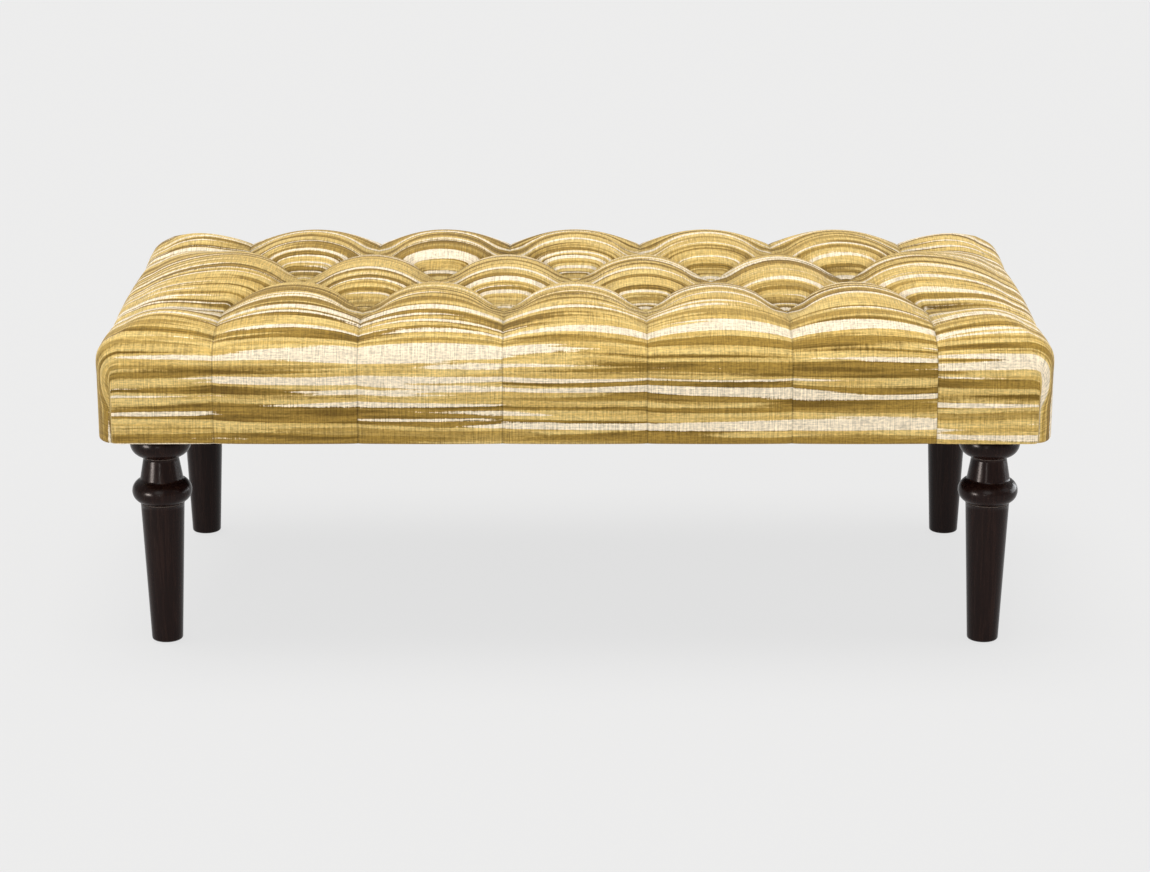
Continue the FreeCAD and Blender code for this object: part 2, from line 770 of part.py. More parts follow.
def make_legs():
    """Make each leg with its bolt, insert nut and glide, all on one upright axis."""
    stack = (
        ("leg", LEG_OUTLINE, "Sizes.glide_height"),
        ("hanger_bolt", BOLT_OUTLINE, "Worked.leg_top - Sizes.bolt_depth"),
        ("insert_nut", NUT_OUTLINE, "Worked.block_top - Sizes.nut_barrel_length"),
        ("glide", GLIDE_OUTLINE, "0"),
    )
    for name, side_x, side_y, _ in CORNERS:
        for kind, outline, level in stack:
            piece = turned(f"{kind}_{name}", outline)
            place(piece, f"{side_x} * Worked.leg_x", f"{side_y} * Worked.leg_y", level)


make_legs()
doc.recompute()


# Pieces to write out, with the number of solids in each

PIECES = {name: 1 for name in (
    "front_rail", "rear_rail", "left_rail", "right_rail", "left_cross_rail", "right_cross_rail",
    "deck_board", "foam_pad", "batting_wrap", "seat_cover", "dust_cover")}
PIECES["tuft_twines"] = len(tuft_places())
PIECES["tuft_washers"] = len(tuft_places())
PIECES["rail_screws"] = len(rail_screw_places())
PIECES["block_screws"] = len(block_screw_places())
PIECES["deck_screws"] = len(deck_screw_places())
for kind in ("corner_block", "leg", "hanger_bolt", "insert_nut", "glide"):
    for corner in CORNERS:
        PIECES[f"{kind}_{corner[0]}"] = 1


def check_document():
    """Stop if any object failed or any piece has no sound shape."""
    for item in doc.Objects:
        if "Invalid" in item.State or "Error" in item.State:
            raise RuntimeError(f"{item.Label} failed: {item.State}")
    for name, solids in PIECES.items():
        shape = doc.getObject(name).Shape
        if shape.isNull() or not shape.isValid():
            raise RuntimeError(f"{name} has no valid shape")
        if len(shape.Solids) != solids:
            raise RuntimeError(f"{name} has {len(shape.Solids)} solids, not {solids}")


def write_pieces():
    """Write each piece to its own file."""
    os.makedirs("parts", exist_ok=True)
    for name in PIECES:
        doc.getObject(name).Shape.exportStep(f"parts/{name}.step")


check_document()
write_pieces()
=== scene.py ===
"""Dressed model of a long tufted footstool: linen seat cover, turned legs, dust cover and staples.

Metres, +Z up, front towards -Y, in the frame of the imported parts. Each sub-assembly is a class that
works its surfaces out as numpy grids and dresses them with procedural finishes.
"""
from __future__ import annotations

import json
import logging
import math
from dataclasses import dataclass
from enum import Enum
from typing import Any, Callable

import bmesh
import bpy
import numpy as np
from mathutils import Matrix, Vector

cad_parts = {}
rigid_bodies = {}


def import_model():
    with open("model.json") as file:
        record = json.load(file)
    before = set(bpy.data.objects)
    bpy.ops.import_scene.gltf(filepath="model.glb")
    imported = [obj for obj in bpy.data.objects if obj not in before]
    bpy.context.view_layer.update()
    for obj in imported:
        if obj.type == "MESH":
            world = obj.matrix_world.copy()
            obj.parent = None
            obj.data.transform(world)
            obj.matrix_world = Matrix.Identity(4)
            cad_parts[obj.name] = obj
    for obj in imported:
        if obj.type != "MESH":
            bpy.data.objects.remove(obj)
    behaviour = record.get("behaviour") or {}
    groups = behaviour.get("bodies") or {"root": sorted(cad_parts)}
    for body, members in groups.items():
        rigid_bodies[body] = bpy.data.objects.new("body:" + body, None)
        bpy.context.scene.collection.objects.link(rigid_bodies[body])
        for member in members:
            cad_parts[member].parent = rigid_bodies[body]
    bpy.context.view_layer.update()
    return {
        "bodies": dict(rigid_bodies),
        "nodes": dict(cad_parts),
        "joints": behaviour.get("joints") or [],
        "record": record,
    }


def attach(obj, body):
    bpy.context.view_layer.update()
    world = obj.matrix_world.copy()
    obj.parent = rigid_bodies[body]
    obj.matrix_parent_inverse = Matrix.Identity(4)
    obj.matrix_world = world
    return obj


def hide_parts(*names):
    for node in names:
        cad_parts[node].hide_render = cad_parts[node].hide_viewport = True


LOG = logging.getLogger("footstool")
MM = 0.001
MERGE_DISTANCE = 0.005 * MM
HAIR = 1e-6
NEAR_ZERO = 1e-7
ROOT = "root"
WARM_WHITE = (1.0, 0.98, 0.96)
COOL_WHITE = (0.96, 0.98, 1.0)
Colour = tuple[float, float, float, float]
Triple = tuple[float, float, float]
Pair = tuple[float, float]
Tucks = Callable[[np.ndarray], np.ndarray]


class Corner(Enum):
    """The four corners, each with its side along X and along Y."""

    FRONT_LEFT = (-1, -1)
    FRONT_RIGHT = (1, -1)
    REAR_LEFT = (-1, 1)
    REAR_RIGHT = (1, 1)

    @property
    def label(self) -> str:
        """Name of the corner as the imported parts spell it."""
        return self.name.lower()


def linear(red: int, green: int, blue: int) -> Colour:
    """Turn a colour of 0 to 255 as seen on a screen into the light values that shaders take.

    Args:
        red: Red, 0 to 255.
        green: Green, 0 to 255.
        blue: Blue, 0 to 255.

    Returns:
        Linear red, green and blue with full alpha.
    """
    parts = np.array([red, green, blue]) / 255
    light = np.where(parts <= 0.04045, parts / 12.92, ((parts + 0.055) / 1.055) ** 2.4)
    return (*light.tolist(), 1.0)


def smooth_step(values: np.ndarray) -> np.ndarray:
    """Rise from 0 to 1 along 3t^2 - 2t^3, level at both ends."""
    share = np.clip(values, 0, 1)
    return share * share * (3 - 2 * share)


class Shade:
    """A shader socket whose arithmetic adds Math nodes."""

    def __init__(self, paint: Paint, socket: bpy.types.NodeSocket) -> None:
        """Keep the socket and the material that it belongs to."""
        self.paint = paint
        self.socket = socket

    def maths(self, operation: str, first: Any, second: Any = None) -> Shade:
        """Add one Math node."""
        inputs = {0: first} if second is None else {0: first, 1: second}
        return self.paint.add("ShaderNodeMath", {"operation": operation}, inputs)

    def __add__(self, other: Any) -> Shade:
        """Sum."""
        return self.maths("ADD", self, other)

    __radd__ = __add__

    def __sub__(self, other: Any) -> Shade:
        """Difference."""
        return self.maths("SUBTRACT", self, other)

    def __rsub__(self, other: Any) -> Shade:
        """Difference from a number."""
        return self.maths("SUBTRACT", other, self)

    def __mul__(self, other: Any) -> Shade:
        """Product."""
        return self.maths("MULTIPLY", self, other)

    __rmul__ = __mul__

    def ramp(self, low: float, high: float) -> Shade:
        """Go smoothly from 0 at one value to 1 at another."""
        settings = {"interpolation_type": "SMOOTHSTEP"}
        return self.paint.add("ShaderNodeMapRange", settings, {0: self, 1: low, 2: high})


class Paint:
    """A material under construction, with one Principled shader."""

    def __init__(self, name: str, **constants: Any) -> None:
        """Start a material and set the shader's constant sockets.

        Args:
            name: Material name.
            **constants: Socket names, with _ for spaces, and their values.
        """
        self.material = bpy.data.materials.new(name)
        self.material.use_nodes = True
        self.tree = self.material.node_tree
        self.shader = self.tree.nodes["Principled BSDF"]
        for key, value in constants.items():
            self.shader.inputs[key.replace("_", " ")].default_value = value

    def add(self, kind: str, settings: dict[str, Any], inputs: dict[Any, Any], output: Any = 0) -> Shade:
        """Add any node.

        Args:
            kind: Node type.
            settings: Properties of the node, set first.
            inputs: Values or links by socket name or number.
            output: Socket to give back.

        Returns:
            The node's output as a Shade.
        """
        node = self.tree.nodes.new(kind)
        for key, value in settings.items():
            setattr(node, key, value)
        for key, value in inputs.items():
            if isinstance(value, Shade):
                self.tree.links.new(value.socket, node.inputs[key])
            else:
                node.inputs[key].default_value = value
        return Shade(self, node.outputs[output])

    def feed(self, socket: str, value: Shade) -> None:
        """Link a value to a socket of the shader."""
        self.tree.links.new(value.socket, self.shader.inputs[socket])

    def mix(self, factor: Any, first: Any, second: Any, kind: str = "MIX") -> Shade:
        """Mix two colours."""
        settings = {"data_type": "RGBA", "blend_type": kind, "clamp_factor": True}
        return self.add("ShaderNodeMix", settings, {0: factor, 6: first, 7: second}, 2)

    def place(self) -> Shade:
        """Coordinates of the piece's object."""
        return self.add("ShaderNodeTexCoord", {}, {}, "Object")

    def unrolled(self, uv: str) -> Shade:
        """Coordinates of a UV map, in metres of cloth."""
        return self.add("ShaderNodeUVMap", {"uv_map": uv}, {})

    def painted_light_mask(self) -> Shade:
        """The mesh's fold attribute, the mask of painted light: 1 on a fold of the cloth, where painted
        shade darkens it, or on a fine ring of a leg, where a painted highlight lightens it.
        """
        return self.add("ShaderNodeAttribute", {"attribute_name": "fold"}, {}, "Fac")

    def noise(self, vector: Shade, scales: Triple, detail: float = 2.0, distortion: float = 0.0,
              layer: float = 0.0) -> Shade:
        """Noise of about unit grain on scaled coordinates.

        Args:
            vector: Coordinates.
            scales: Grains to the metre along each axis.
            detail: Finer octaves.
            distortion: How much the grains wander.
            layer: Which of the noise's unlike layers to take.

        Returns:
            The noise, about 0 to 1.
        """
        scaled = self.add("ShaderNodeVectorMath", {"operation": "MULTIPLY"}, {0: vector, 1: scales})
        inputs = {"Vector": scaled, "W": layer, "Scale": 1.0, "Detail": detail, "Distortion": distortion}
        return self.add("ShaderNodeTexNoise", {"noise_dimensions": "4D"}, inputs, 0)

    def bump(self, height: Shade, distance: float, strength: float) -> None:
        """Raise the surface by a height pattern."""
        inputs = {"Height": height, "Distance": distance, "Strength": strength}
        self.feed("Normal", self.add("ShaderNodeBump", {}, inputs))


@dataclass(frozen=True)
class LinenFinish:
    """Slubby linen with brushed, broken stripes of gold, olive and cream along the seat."""

    name: str = "striped_linen"
    gold: Colour = linear(201, 169, 95)
    light_gold: Colour = linear(221, 193, 122)
    olive: Colour = linear(158, 127, 55)
    deep_olive: Colour = linear(118, 91, 30)
    cream: Colour = linear(238, 223, 195)
    # Grains to the metre along and across the seat.
    thread: float = 560.0
    slub: float = 36.0
    fleck_grain: Triple = (190, 430, 1)
    brush_grain: Triple = (40, 420, 1)
    band_grain: Triple = (1.6, 58, 1)
    line_grain: Triple = (1.9, 74, 1)
    streak_grain: Triple = (7.0, 150, 1)
    drift_grain: Triple = (1.4, 5, 1)
    # Shares of the patterns in each other.
    weft_share: float = 0.3
    warp_share: float = 0.4
    fleck_share: float = 0.3
    brush_share: float = 0.03
    weave_share: float = 0.08
    line_share: float = 0.7
    repeat_share: float = 0.06
    # The repeat of the stripes, as radians to the metre, and how far it drifts.
    stripe: float = 2 * math.pi / 0.044
    wander: float = 9.0
    # Values at which one colour gives way to the next, and how soft the change is.
    gold_span: Pair = (0.4, 0.62)
    olive_span: Pair = (0.38, 0.56)
    olive_below: float = 0.55
    olive_edge: float = 0.045
    cream_above: float = 0.454
    cream_edge: float = 0.016
    line_below: float = 0.327
    line_edge: float = 0.025
    line_strength: float = 0.75
    # Light and dark of the threads, and the painted shade along the folds and down in the tufts.
    weave_span: Pair = (0.39, 0.61)
    thread_shade: Pair = (0.58, 1.36)
    fold_span: Pair = (0.45, 1.0)
    fold_shade: float = 0.38
    relief: float = 0.6 * MM

    def weave(self, paint: Paint, cloth: Shade) -> Shade:
        """Weave pattern: threads both ways with slubs, and flecks.

        Args:
            paint: The material.
            cloth: Coordinates on the cloth.

        Returns:
            The pattern, about 0.5 in the mean.
        """
        weft = paint.noise(cloth, (self.slub, self.thread, 1), detail=2.5)
        warp = paint.noise(cloth, (self.thread, self.slub, 1), detail=2.5)
        fleck = paint.noise(cloth, self.fleck_grain, detail=3.0)
        return weft * self.weft_share + warp * self.warp_share + fleck * self.fleck_share

    def stripes(self, paint: Paint, cloth: Shade, weave: Shade) -> Shade:
        """Colour of the stripes: bands of gold and olive, with lines of cream and olive over them.

        Args:
            paint: The material.
            cloth: Coordinates on the cloth.
            weave: The weave pattern, which breaks the edges of the stripes.

        Returns:
            The colour.
        """
        dry_brush = paint.noise(cloth, self.brush_grain) * self.brush_share + weave * self.weave_share
        band = paint.noise(cloth, self.band_grain, detail=1.4, distortion=0.15, layer=1.0) + dry_brush
        across = paint.add("ShaderNodeSeparateXYZ", {}, {0: cloth}, 1)
        drift = paint.noise(cloth, self.drift_grain, detail=1.0, layer=4.0)
        phase = across * self.stripe + drift * self.wander
        repeat = phase.maths("SINE", phase)
        line = paint.noise(cloth, self.line_grain, detail=1.2, distortion=0.15, layer=2.0)
        line = line * self.line_share + repeat * self.repeat_share + dry_brush
        streak = paint.noise(cloth, self.streak_grain, detail=3.0, distortion=0.2, layer=3.0)
        gold = paint.mix(streak.ramp(*self.gold_span), self.gold, self.light_gold)
        olive = paint.mix(streak.ramp(*self.olive_span), self.deep_olive, self.olive)
        colour = paint.mix((self.olive_below - band).ramp(0.0, self.olive_edge), gold, olive)
        colour = paint.mix((line - self.cream_above).ramp(0.0, self.cream_edge), colour, self.cream)
        thin = (self.line_below - line).ramp(0.0, self.line_edge) * self.line_strength
        return paint.mix(thin, colour, self.olive)

    def material(self) -> bpy.types.Material:
        """Make the material, in metres of cloth.

        Returns:
            The linen.
        """
        paint = Paint(self.name, Roughness=0.88, Sheen_Weight=0.1, Sheen_Roughness=0.5,
                      Specular_IOR_Level=0.2)
        cloth = paint.unrolled("sheet")
        weave = self.weave(paint, cloth)
        colour = self.stripes(paint, cloth, weave)
        spans = dict(enumerate((weave, *self.weave_span, *self.thread_shade)))
        # Painted shade: the fold attribute darkens the colour along the folds and down in the tufts.
        fold = paint.painted_light_mask().ramp(*self.fold_span)
        shade = paint.add("ShaderNodeMapRange", {}, spans) * (1 - fold * self.fold_shade)
        grey = paint.add("ShaderNodeCombineColor", {}, {0: shade, 1: shade, 2: shade})
        paint.feed("Base Color", paint.mix(1.0, colour, grey, "MULTIPLY"))
        paint.bump(weave, self.relief, 0.7)
        return paint.material


@dataclass(frozen=True)
class LacquerFinish:
    """Espresso stain under satin lacquer, with faint grain along the leg and a painted highlight on the
    fine rings.
    """

    name: str = "espresso_lacquer"
    dark: Colour = linear(27, 13, 10)
    warm: Colour = linear(39, 22, 17)
    # Pale colour of the painted highlight on the fine rings.
    ring_glint_colour: Colour = linear(86, 76, 70)
    grain_scales: Triple = (210, 210, 9)
    pore_scales: Triple = (900, 900, 26)
    tone_span: Pair = (0.42, 0.66)
    ring_glint_share: float = 0.85
    gloss: float = 0.23
    gloss_change: float = 0.08
    relief: float = 0.05 * MM

    def material(self) -> bpy.types.Material:
        """Make the material.

        Returns:
            The lacquered wood.
        """
        paint = Paint(self.name, Specular_IOR_Level=0.13)
        spot = paint.place()
        grain = paint.noise(spot, self.grain_scales, detail=4.0, distortion=0.6)
        pores = paint.noise(spot, self.pore_scales)
        tone = (grain * 0.7 + pores * 0.3).ramp(*self.tone_span)
        # Painted highlight: the fine rings under the collar and the bead are lightened towards a pale
        # colour, standing in for light caught on their lower edge.
        ring_glint = paint.painted_light_mask() * self.ring_glint_share
        paint.feed("Base Color", paint.mix(ring_glint, paint.mix(tone, self.dark, self.warm), self.ring_glint_colour))
        paint.feed("Roughness", self.gloss + tone * self.gloss_change)
        paint.bump(grain * 0.6 + pores * 0.4, self.relief, 0.25)
        return paint.material


@dataclass(frozen=True)
class TimberFinish:
    """Bare planed wood with long grain, for pieces inside the seat."""

    name: str
    light: Colour
    dark: Colour
    grain: Triple = (6, 120, 120)
    tone_span: Pair = (0.38, 0.64)
    relief: float = 0.3 * MM

    def material(self) -> bpy.types.Material:
        """Make the material.

        Returns:
            The bare wood.
        """
        paint = Paint(self.name, Specular_IOR_Level=0.3)
        grain = paint.noise(paint.place(), self.grain, detail=4.0, distortion=1.2)
        tone = grain.ramp(*self.tone_span)
        paint.feed("Base Color", paint.mix(tone, self.light, self.dark))
        paint.feed("Roughness", 0.62 + tone * 0.15)
        paint.bump(grain, self.relief, 0.3)
        return paint.material


@dataclass(frozen=True)
class MetalFinish:
    """Zinc-plated steel with a fine mottled skin."""

    name: str = "zinc_steel"
    bright: Colour = linear(196, 196, 190)
    dull: Colour = linear(150, 150, 146)
    mottle_scales: Triple = (700, 700, 700)
    tone_span: Pair = (0.35, 0.65)

    def material(self) -> bpy.types.Material:
        """Make the material.

        Returns:
            The steel.
        """
        paint = Paint(self.name, Metallic=1.0)
        tone = paint.noise(paint.place(), self.mottle_scales, detail=3.0).ramp(*self.tone_span)
        paint.feed("Base Color", paint.mix(tone, self.dull, self.bright))
        paint.feed("Roughness", 0.5 - tone * 0.16)
        return paint.material


@dataclass(frozen=True)
class FibreFinish:
    """Matt cloth, twine or plastic with a fibrous mottle."""

    name: str
    base: Colour
    other: Colour
    scales: Triple
    roughness: float = 0.9
    relief: float = 0.2 * MM
    tone_span: Pair = (0.35, 0.68)

    def material(self) -> bpy.types.Material:
        """Make the material.

        Returns:
            The cloth, twine or plastic.
        """
        paint = Paint(self.name, Specular_IOR_Level=0.25)
        fibre = paint.noise(paint.place(), self.scales, detail=4.0, distortion=0.8)
        tone = fibre.ramp(*self.tone_span)
        paint.feed("Base Color", paint.mix(tone, self.base, self.other))
        paint.feed("Roughness", self.roughness - tone * 0.08)
        paint.bump(fibre, self.relief, 0.5)
        return paint.material


class Sheet:
    """Points, cloth coordinates and faces of several grids that make up one mesh."""

    def __init__(self) -> None:
        """Start with no grids."""
        self.points: list[np.ndarray] = []
        self.cloth: list[np.ndarray] = []
        self.held: list[np.ndarray] = []
        self.fold: list[np.ndarray] = []
        self.faces: list[list[int]] = []
        self.count = 0

    def add_grid(self, points: np.ndarray, cloth: np.ndarray, held: np.ndarray, fold: np.ndarray,
                 flip: bool, slant: np.ndarray | None = None) -> None:
        """Add one grid.

        Args:
            points: Places, rows by columns by 3.
            cloth: Cloth coordinates, rows by columns by 2.
            held: How firmly each point is held, rows by columns.
            fold: Mask of painted light, 1 on a fold line of the cloth, where painted shade goes, or on a
                fine ring of a leg, where a painted highlight goes, rows by columns.
            flip: True to turn the faces round.
            slant: For each cell, True to split it from its second corner; None keeps quads.
        """
        rows, columns = points.shape[:2]
        index = np.arange(rows * columns).reshape(rows, columns) + self.count
        corners = [index[:-1, :-1], index[:-1, 1:], index[1:, 1:], index[1:, :-1]]
        if flip:
            corners = corners[::-1]
        quads = np.stack([corner.ravel() for corner in corners], axis=1)
        if slant is None:
            self.faces += quads.tolist()
        else:
            turned = slant.ravel() ^ flip
            order = np.where(turned[:, None], np.array([1, 2, 3, 0]), np.array([0, 1, 2, 3]))
            quads = np.take_along_axis(quads, order, axis=1)
            self.faces += quads[:, [0, 1, 2]].tolist() + quads[:, [0, 2, 3]].tolist()
        self.points.append(points.reshape(-1, 3))
        self.cloth.append(cloth.reshape(-1, 2))
        self.held.append(held.ravel())
        self.fold.append(fold.ravel())
        self.count += rows * columns

    def lay_cloth(self, mesh: bpy.types.Mesh, uv: str, tucks: Tucks | None) -> None:
        """Write the cloth coordinates as a UV map, and what is held and the fold mask of painted shade and
        highlight as attributes.

        Args:
            mesh: The mesh, with its faces.
            uv: Name of the UV map.
            tucks: Gives the shift of the cloth on each face, or None for no shift.
        """
        loops = np.zeros(len(mesh.loops), dtype=np.int32)
        mesh.loops.foreach_get("vertex_index", loops)
        cloth = np.concatenate(self.cloth)[loops]
        if tucks:
            sizes = np.zeros(len(mesh.polygons), dtype=np.int32)
            mesh.polygons.foreach_get("loop_total", sizes)
            starts = np.concatenate([[0], np.cumsum(sizes)[:-1]])
            middles = np.add.reduceat(cloth, starts, axis=0) / sizes[:, None]
            cloth = cloth + np.repeat(tucks(middles), sizes, axis=0)
        layer = mesh.uv_layers.new(name=uv)
        layer.data.foreach_set("uv", cloth.ravel())
        for key, values in (("held", self.held), ("fold", self.fold)):
            layer = mesh.attributes.new(key, "FLOAT", "POINT")
            layer.data.foreach_set("value", np.concatenate(values))

    def build(self, name: str, uv: str = "", tucks: Tucks | None = None) -> bpy.types.Object:
        """Make the mesh object, with shared edges merged.

        Args:
            name: Name of the piece.
            uv: Name of the UV map for the cloth coordinates, or "" for none.
            tucks: Gives the shift of the cloth on each face, or None for no shift.

        Returns:
            The new object, at the origin.
        """
        mesh = bpy.data.meshes.new(name)
        mesh.from_pydata(np.concatenate(self.points).tolist(), [], self.faces)
        if uv:
            self.lay_cloth(mesh, uv, tucks)
        work = bmesh.new()
        work.from_mesh(mesh)
        bmesh.ops.remove_doubles(work, verts=work.verts, dist=MERGE_DISTANCE)
        work.to_mesh(mesh)
        work.free()
        mesh.polygons.foreach_set("use_smooth", np.ones(len(mesh.polygons), dtype=bool))
        piece = bpy.data.objects.new(name, mesh)
        bpy.context.scene.collection.objects.link(piece)
        return piece


def dress(piece: bpy.types.Object, material: bpy.types.Material) -> None:
    """Give a new piece its only material."""
    piece.data.materials.clear()
    piece.data.materials.append(material)


@dataclass(frozen=True)
class ClothSettle:
    """A short cloth simulation that lets the filling press the cover out between its held folds."""

    frames: int = 7
    quality: int = 3
    mass: float = 0.3
    pressure: float = 90.0
    tension: float = 12.0
    bending: float = 0.3
    air: float = 4.0
    limit: float = 0.004
    levels: int = 20

    def pin(self, piece: bpy.types.Object) -> bpy.types.VertexGroup:
        """Turn the cover's "held" attribute into a vertex group, in steps.

        Args:
            piece: The cover.

        Returns:
            The group.
        """
        weights = np.zeros(len(piece.data.vertices))
        piece.data.attributes["held"].data.foreach_get("value", weights)
        group = piece.vertex_groups.new(name="held")
        steps = np.round(weights * self.levels).astype(int)
        for step in range(1, self.levels + 1):
            group.add(np.flatnonzero(steps == step).tolist(), step / self.levels, "REPLACE")
        return group

    def add_cloth(self, piece: bpy.types.Object, group: bpy.types.VertexGroup) -> bpy.types.Modifier:
        """Add the cloth modifier.

        Args:
            piece: The cover.
            group: The points that are held.

        Returns:
            The modifier.
        """
        cloth = piece.modifiers.new("settle", "CLOTH")
        cloth.point_cache.frame_start = 1
        cloth.point_cache.frame_end = self.frames
        settings = cloth.settings
        settings.quality = self.quality
        settings.mass = self.mass
        settings.tension_stiffness = self.tension
        settings.compression_stiffness = self.tension
        settings.shear_stiffness = self.tension / 3
        settings.bending_stiffness = self.bending
        settings.air_damping = self.air
        settings.use_pressure = True
        settings.uniform_pressure_force = self.pressure
        settings.effector_weights.gravity = 0
        settings.vertex_group_mass = group.name
        cloth.collision_settings.use_collision = False
        return cloth

    def run(self, piece: bpy.types.Object) -> None:
        """Simulate, and keep the settled shape as the mesh, with no point moved past the limit.

        Args:
            piece: The cover, whose "held" attribute says how firmly each point is pinned.
        """
        mesh = piece.data
        before = np.zeros(len(mesh.vertices) * 3)
        mesh.vertices.foreach_get("co", before)
        group = self.pin(piece)
        cloth = self.add_cloth(piece, group)
        scene = bpy.context.scene
        for frame in range(1, self.frames + 1):
            scene.frame_set(frame)
        settled = piece.evaluated_get(bpy.context.evaluated_depsgraph_get()).data
        after = np.zeros(before.size)
        settled.vertices.foreach_get("co", after)
        piece.modifiers.remove(cloth)
        piece.vertex_groups.remove(group)
        scene.frame_set(1)
        moved = (after - before).reshape(-1, 3)
        length = np.linalg.norm(moved, axis=1, keepdims=True)
        moved *= np.minimum(1, self.limit / np.maximum(length, 1e-9))
        mesh.vertices.foreach_set("co", before + moved.ravel())
        mesh.update()
        LOG.info("cover settled by up to %.1f mm", length.max() / MM)


@dataclass(frozen=True)
class Skirt:
    """Profile of the cover's sides, as arrays from the shoulder over the roll to under the hem.

    It holds the distance out from the inner rectangle, the height, the direction of the outward push,
    the distance on the cloth from the shoulder, and the extra fullness of an end.
    """

    out: np.ndarray
    up: np.ndarray
    push_out: np.ndarray
    push_up: np.ndarray
    cloth: np.ndarray
    swell: np.ndarray

    def drawn_in(self, depth: np.ndarray) -> tuple[np.ndarray, np.ndarray]:
        """Distance out and height of a grid whose rows are drawn in against the push by a depth.

        Args:
            depth: How far each point is drawn in, rows along the profile.

        Returns:
            Distance out and height.
        """
        out = self.out[:, None] - self.push_out[:, None] * depth
        up = self.up[:, None] - self.push_up[:, None] * depth
        return out, up


@dataclass
class SeatCover:
    """The tufted linen cover: a crowned box form, drawn in along creases and pleats to its tufts."""

    # The full form.
    half_length: float = 0.6125
    half_depth: float = 0.316
    hem: float = 0.292
    edge: float = 0.376
    crown: float = 0.4588
    roll: float = 0.064
    crest_inset: float = 0.140
    corner_blend: float = 2.5
    # Places and depths of the tufts and pleats. The outer tufts lie a number of half pitches out.
    pitch: float = 0.185
    row: float = 0.168
    half_pitches: int = 5
    tuft_depth: float = 0.0255
    crease_rise: float = 0.006
    rise_reach: float = 0.09
    wall_depth: float = 0.007
    hem_depth: float = 0.0015
    end_depth: float = 0.0035
    end_reach: float = 0.55
    end_swell: float = 0.006
    pinch: float = 0.0016
    pinch_width: float = 0.004
    dimple: float = 0.0014
    dimple_radius: float = 0.010
    # How full the lobes are, and how flat they run out at the tufts.
    lobe_power: float = 0.48
    diamond_power: float = 0.74
    row_clear: float = 1.1
    flat_tuft: float = 1.0
    flat_edge: float = 1.1
    flat_reach: float = 0.05
    # How firmly the simulation holds the creases, tufts, ends and walls.
    hold_width: float = 0.003
    hold_fade: float = 0.02
    pull_start: float = 0.5
    pull_span: float = 0.35
    end_hold: float = 0.6
    grip_rate: float = 1.4
    corner_slack: float = 0.1
    # Cloth taken up in each fold, and the painted shade along the folds and down in the tufts.
    tuck: float = 0.012
    fold_width: float = 0.0034
    hollow_shade: float = 0.82
    hollow_power: float = 0.6
    # The hem and the sewn folds of the corners.
    hem_radius: float = 0.004
    hem_turn: float = 0.022
    seam_turn: float = math.radians(63)
    seam_depth: float = 0.0016
    seam_width: float = 0.003
    seam_start: float = 0.03
    seam_fade: float = 0.07
    flap: float = 0.0008
    flap_width: float = 0.016
    # Fineness of the grids.
    steps: int = 32
    edge_steps: float = 1.3
    roll_rows: int = 22
    wall_rows: int = 22
    hem_rows: int = 4
    corner_columns: int = 21

    def __post_init__(self) -> None:
        """Work out the edge roll and the arch that runs on from it, as tangent arcs."""
        height = self.crown - self.edge
        reach = self.crest_inset - self.roll
        self.arch = (reach**2 + height**2 - self.roll**2) / (2 * (height - self.roll))
        self.lean = math.atan2(self.arch - height, reach)
        self.shoulder = self.roll * (1 - math.cos(self.lean))
        self.inner_x = self.half_length - self.shoulder
        self.inner_y = self.half_depth - self.shoulder
        self.half = self.pitch / 2
        self.last = self.half_pitches / 2 * self.pitch
        self.roll_arc = self.roll * self.lean

    def pleat_depth(self, out: np.ndarray, inner: float, at_edge: float) -> np.ndarray:
        """Depth of a pleat, from its tuft over the roll and down the wall to the hem.

        Args:
            out: Distance along the cloth outward from the tuft.
            inner: Distance on the cloth from the tuft to where the roll starts.
            at_edge: Depth where the roll meets the wall.

        Returns:
            Depth below the full form.
        """
        edge = inner + self.roll_arc
        top = at_edge + (self.tuft_depth - at_edge) * (1 - smooth_step(out / edge))
        down = np.clip((out - edge) / (self.edge - self.hem), 0, 1)
        return np.where(out > edge, at_edge + (self.hem_depth - at_edge) * down, top)

    def swell(self, share: np.ndarray, power: np.ndarray | None = None) -> np.ndarray:
        """Pillow profile across a lobe: a power of a half sine wave, 0 at the creases."""
        return np.sin(np.pi * np.clip(share, 0, 1)) ** (self.lobe_power if power is None else power)

    def tucks(self, middles: np.ndarray) -> np.ndarray:
        """Shift of the cloth on each face, from what the folds between it and the middle have taken up.

        Args:
            middles: Cloth coordinates of each face's middle.

        Returns:
            Shift along and across the seat, one row to a face.
        """
        most = self.half_pitches - HAIR
        p = np.clip(middles[:, 0] / self.half, -most, most)
        q = np.clip(middles[:, 1] / self.row, -1 + HAIR, 1 - HAIR)
        i = np.floor((p + q) / 2)
        j = np.floor((p - q) / 2)
        corner = (np.abs(middles[:, 0]) > self.last) & (np.abs(middles[:, 1]) > self.row)
        along = i + j + np.where(corner, np.sign(middles[:, 0]), 0)
        return self.tuck * np.stack([along, i - j], axis=1)

    def painted_shade_mask(self, distance: np.ndarray, depth: np.ndarray | float = 0.0) -> np.ndarray:
        """Mask of painted shade: 1 on a fold line, growing with depth down in a tuft, 0 on the crests."""
        hollow = self.hollow_shade * np.clip(depth / self.tuft_depth, 0, 1) ** self.hollow_power
        return np.maximum(np.clip(1 - distance / self.fold_width, 0, 1), hollow)

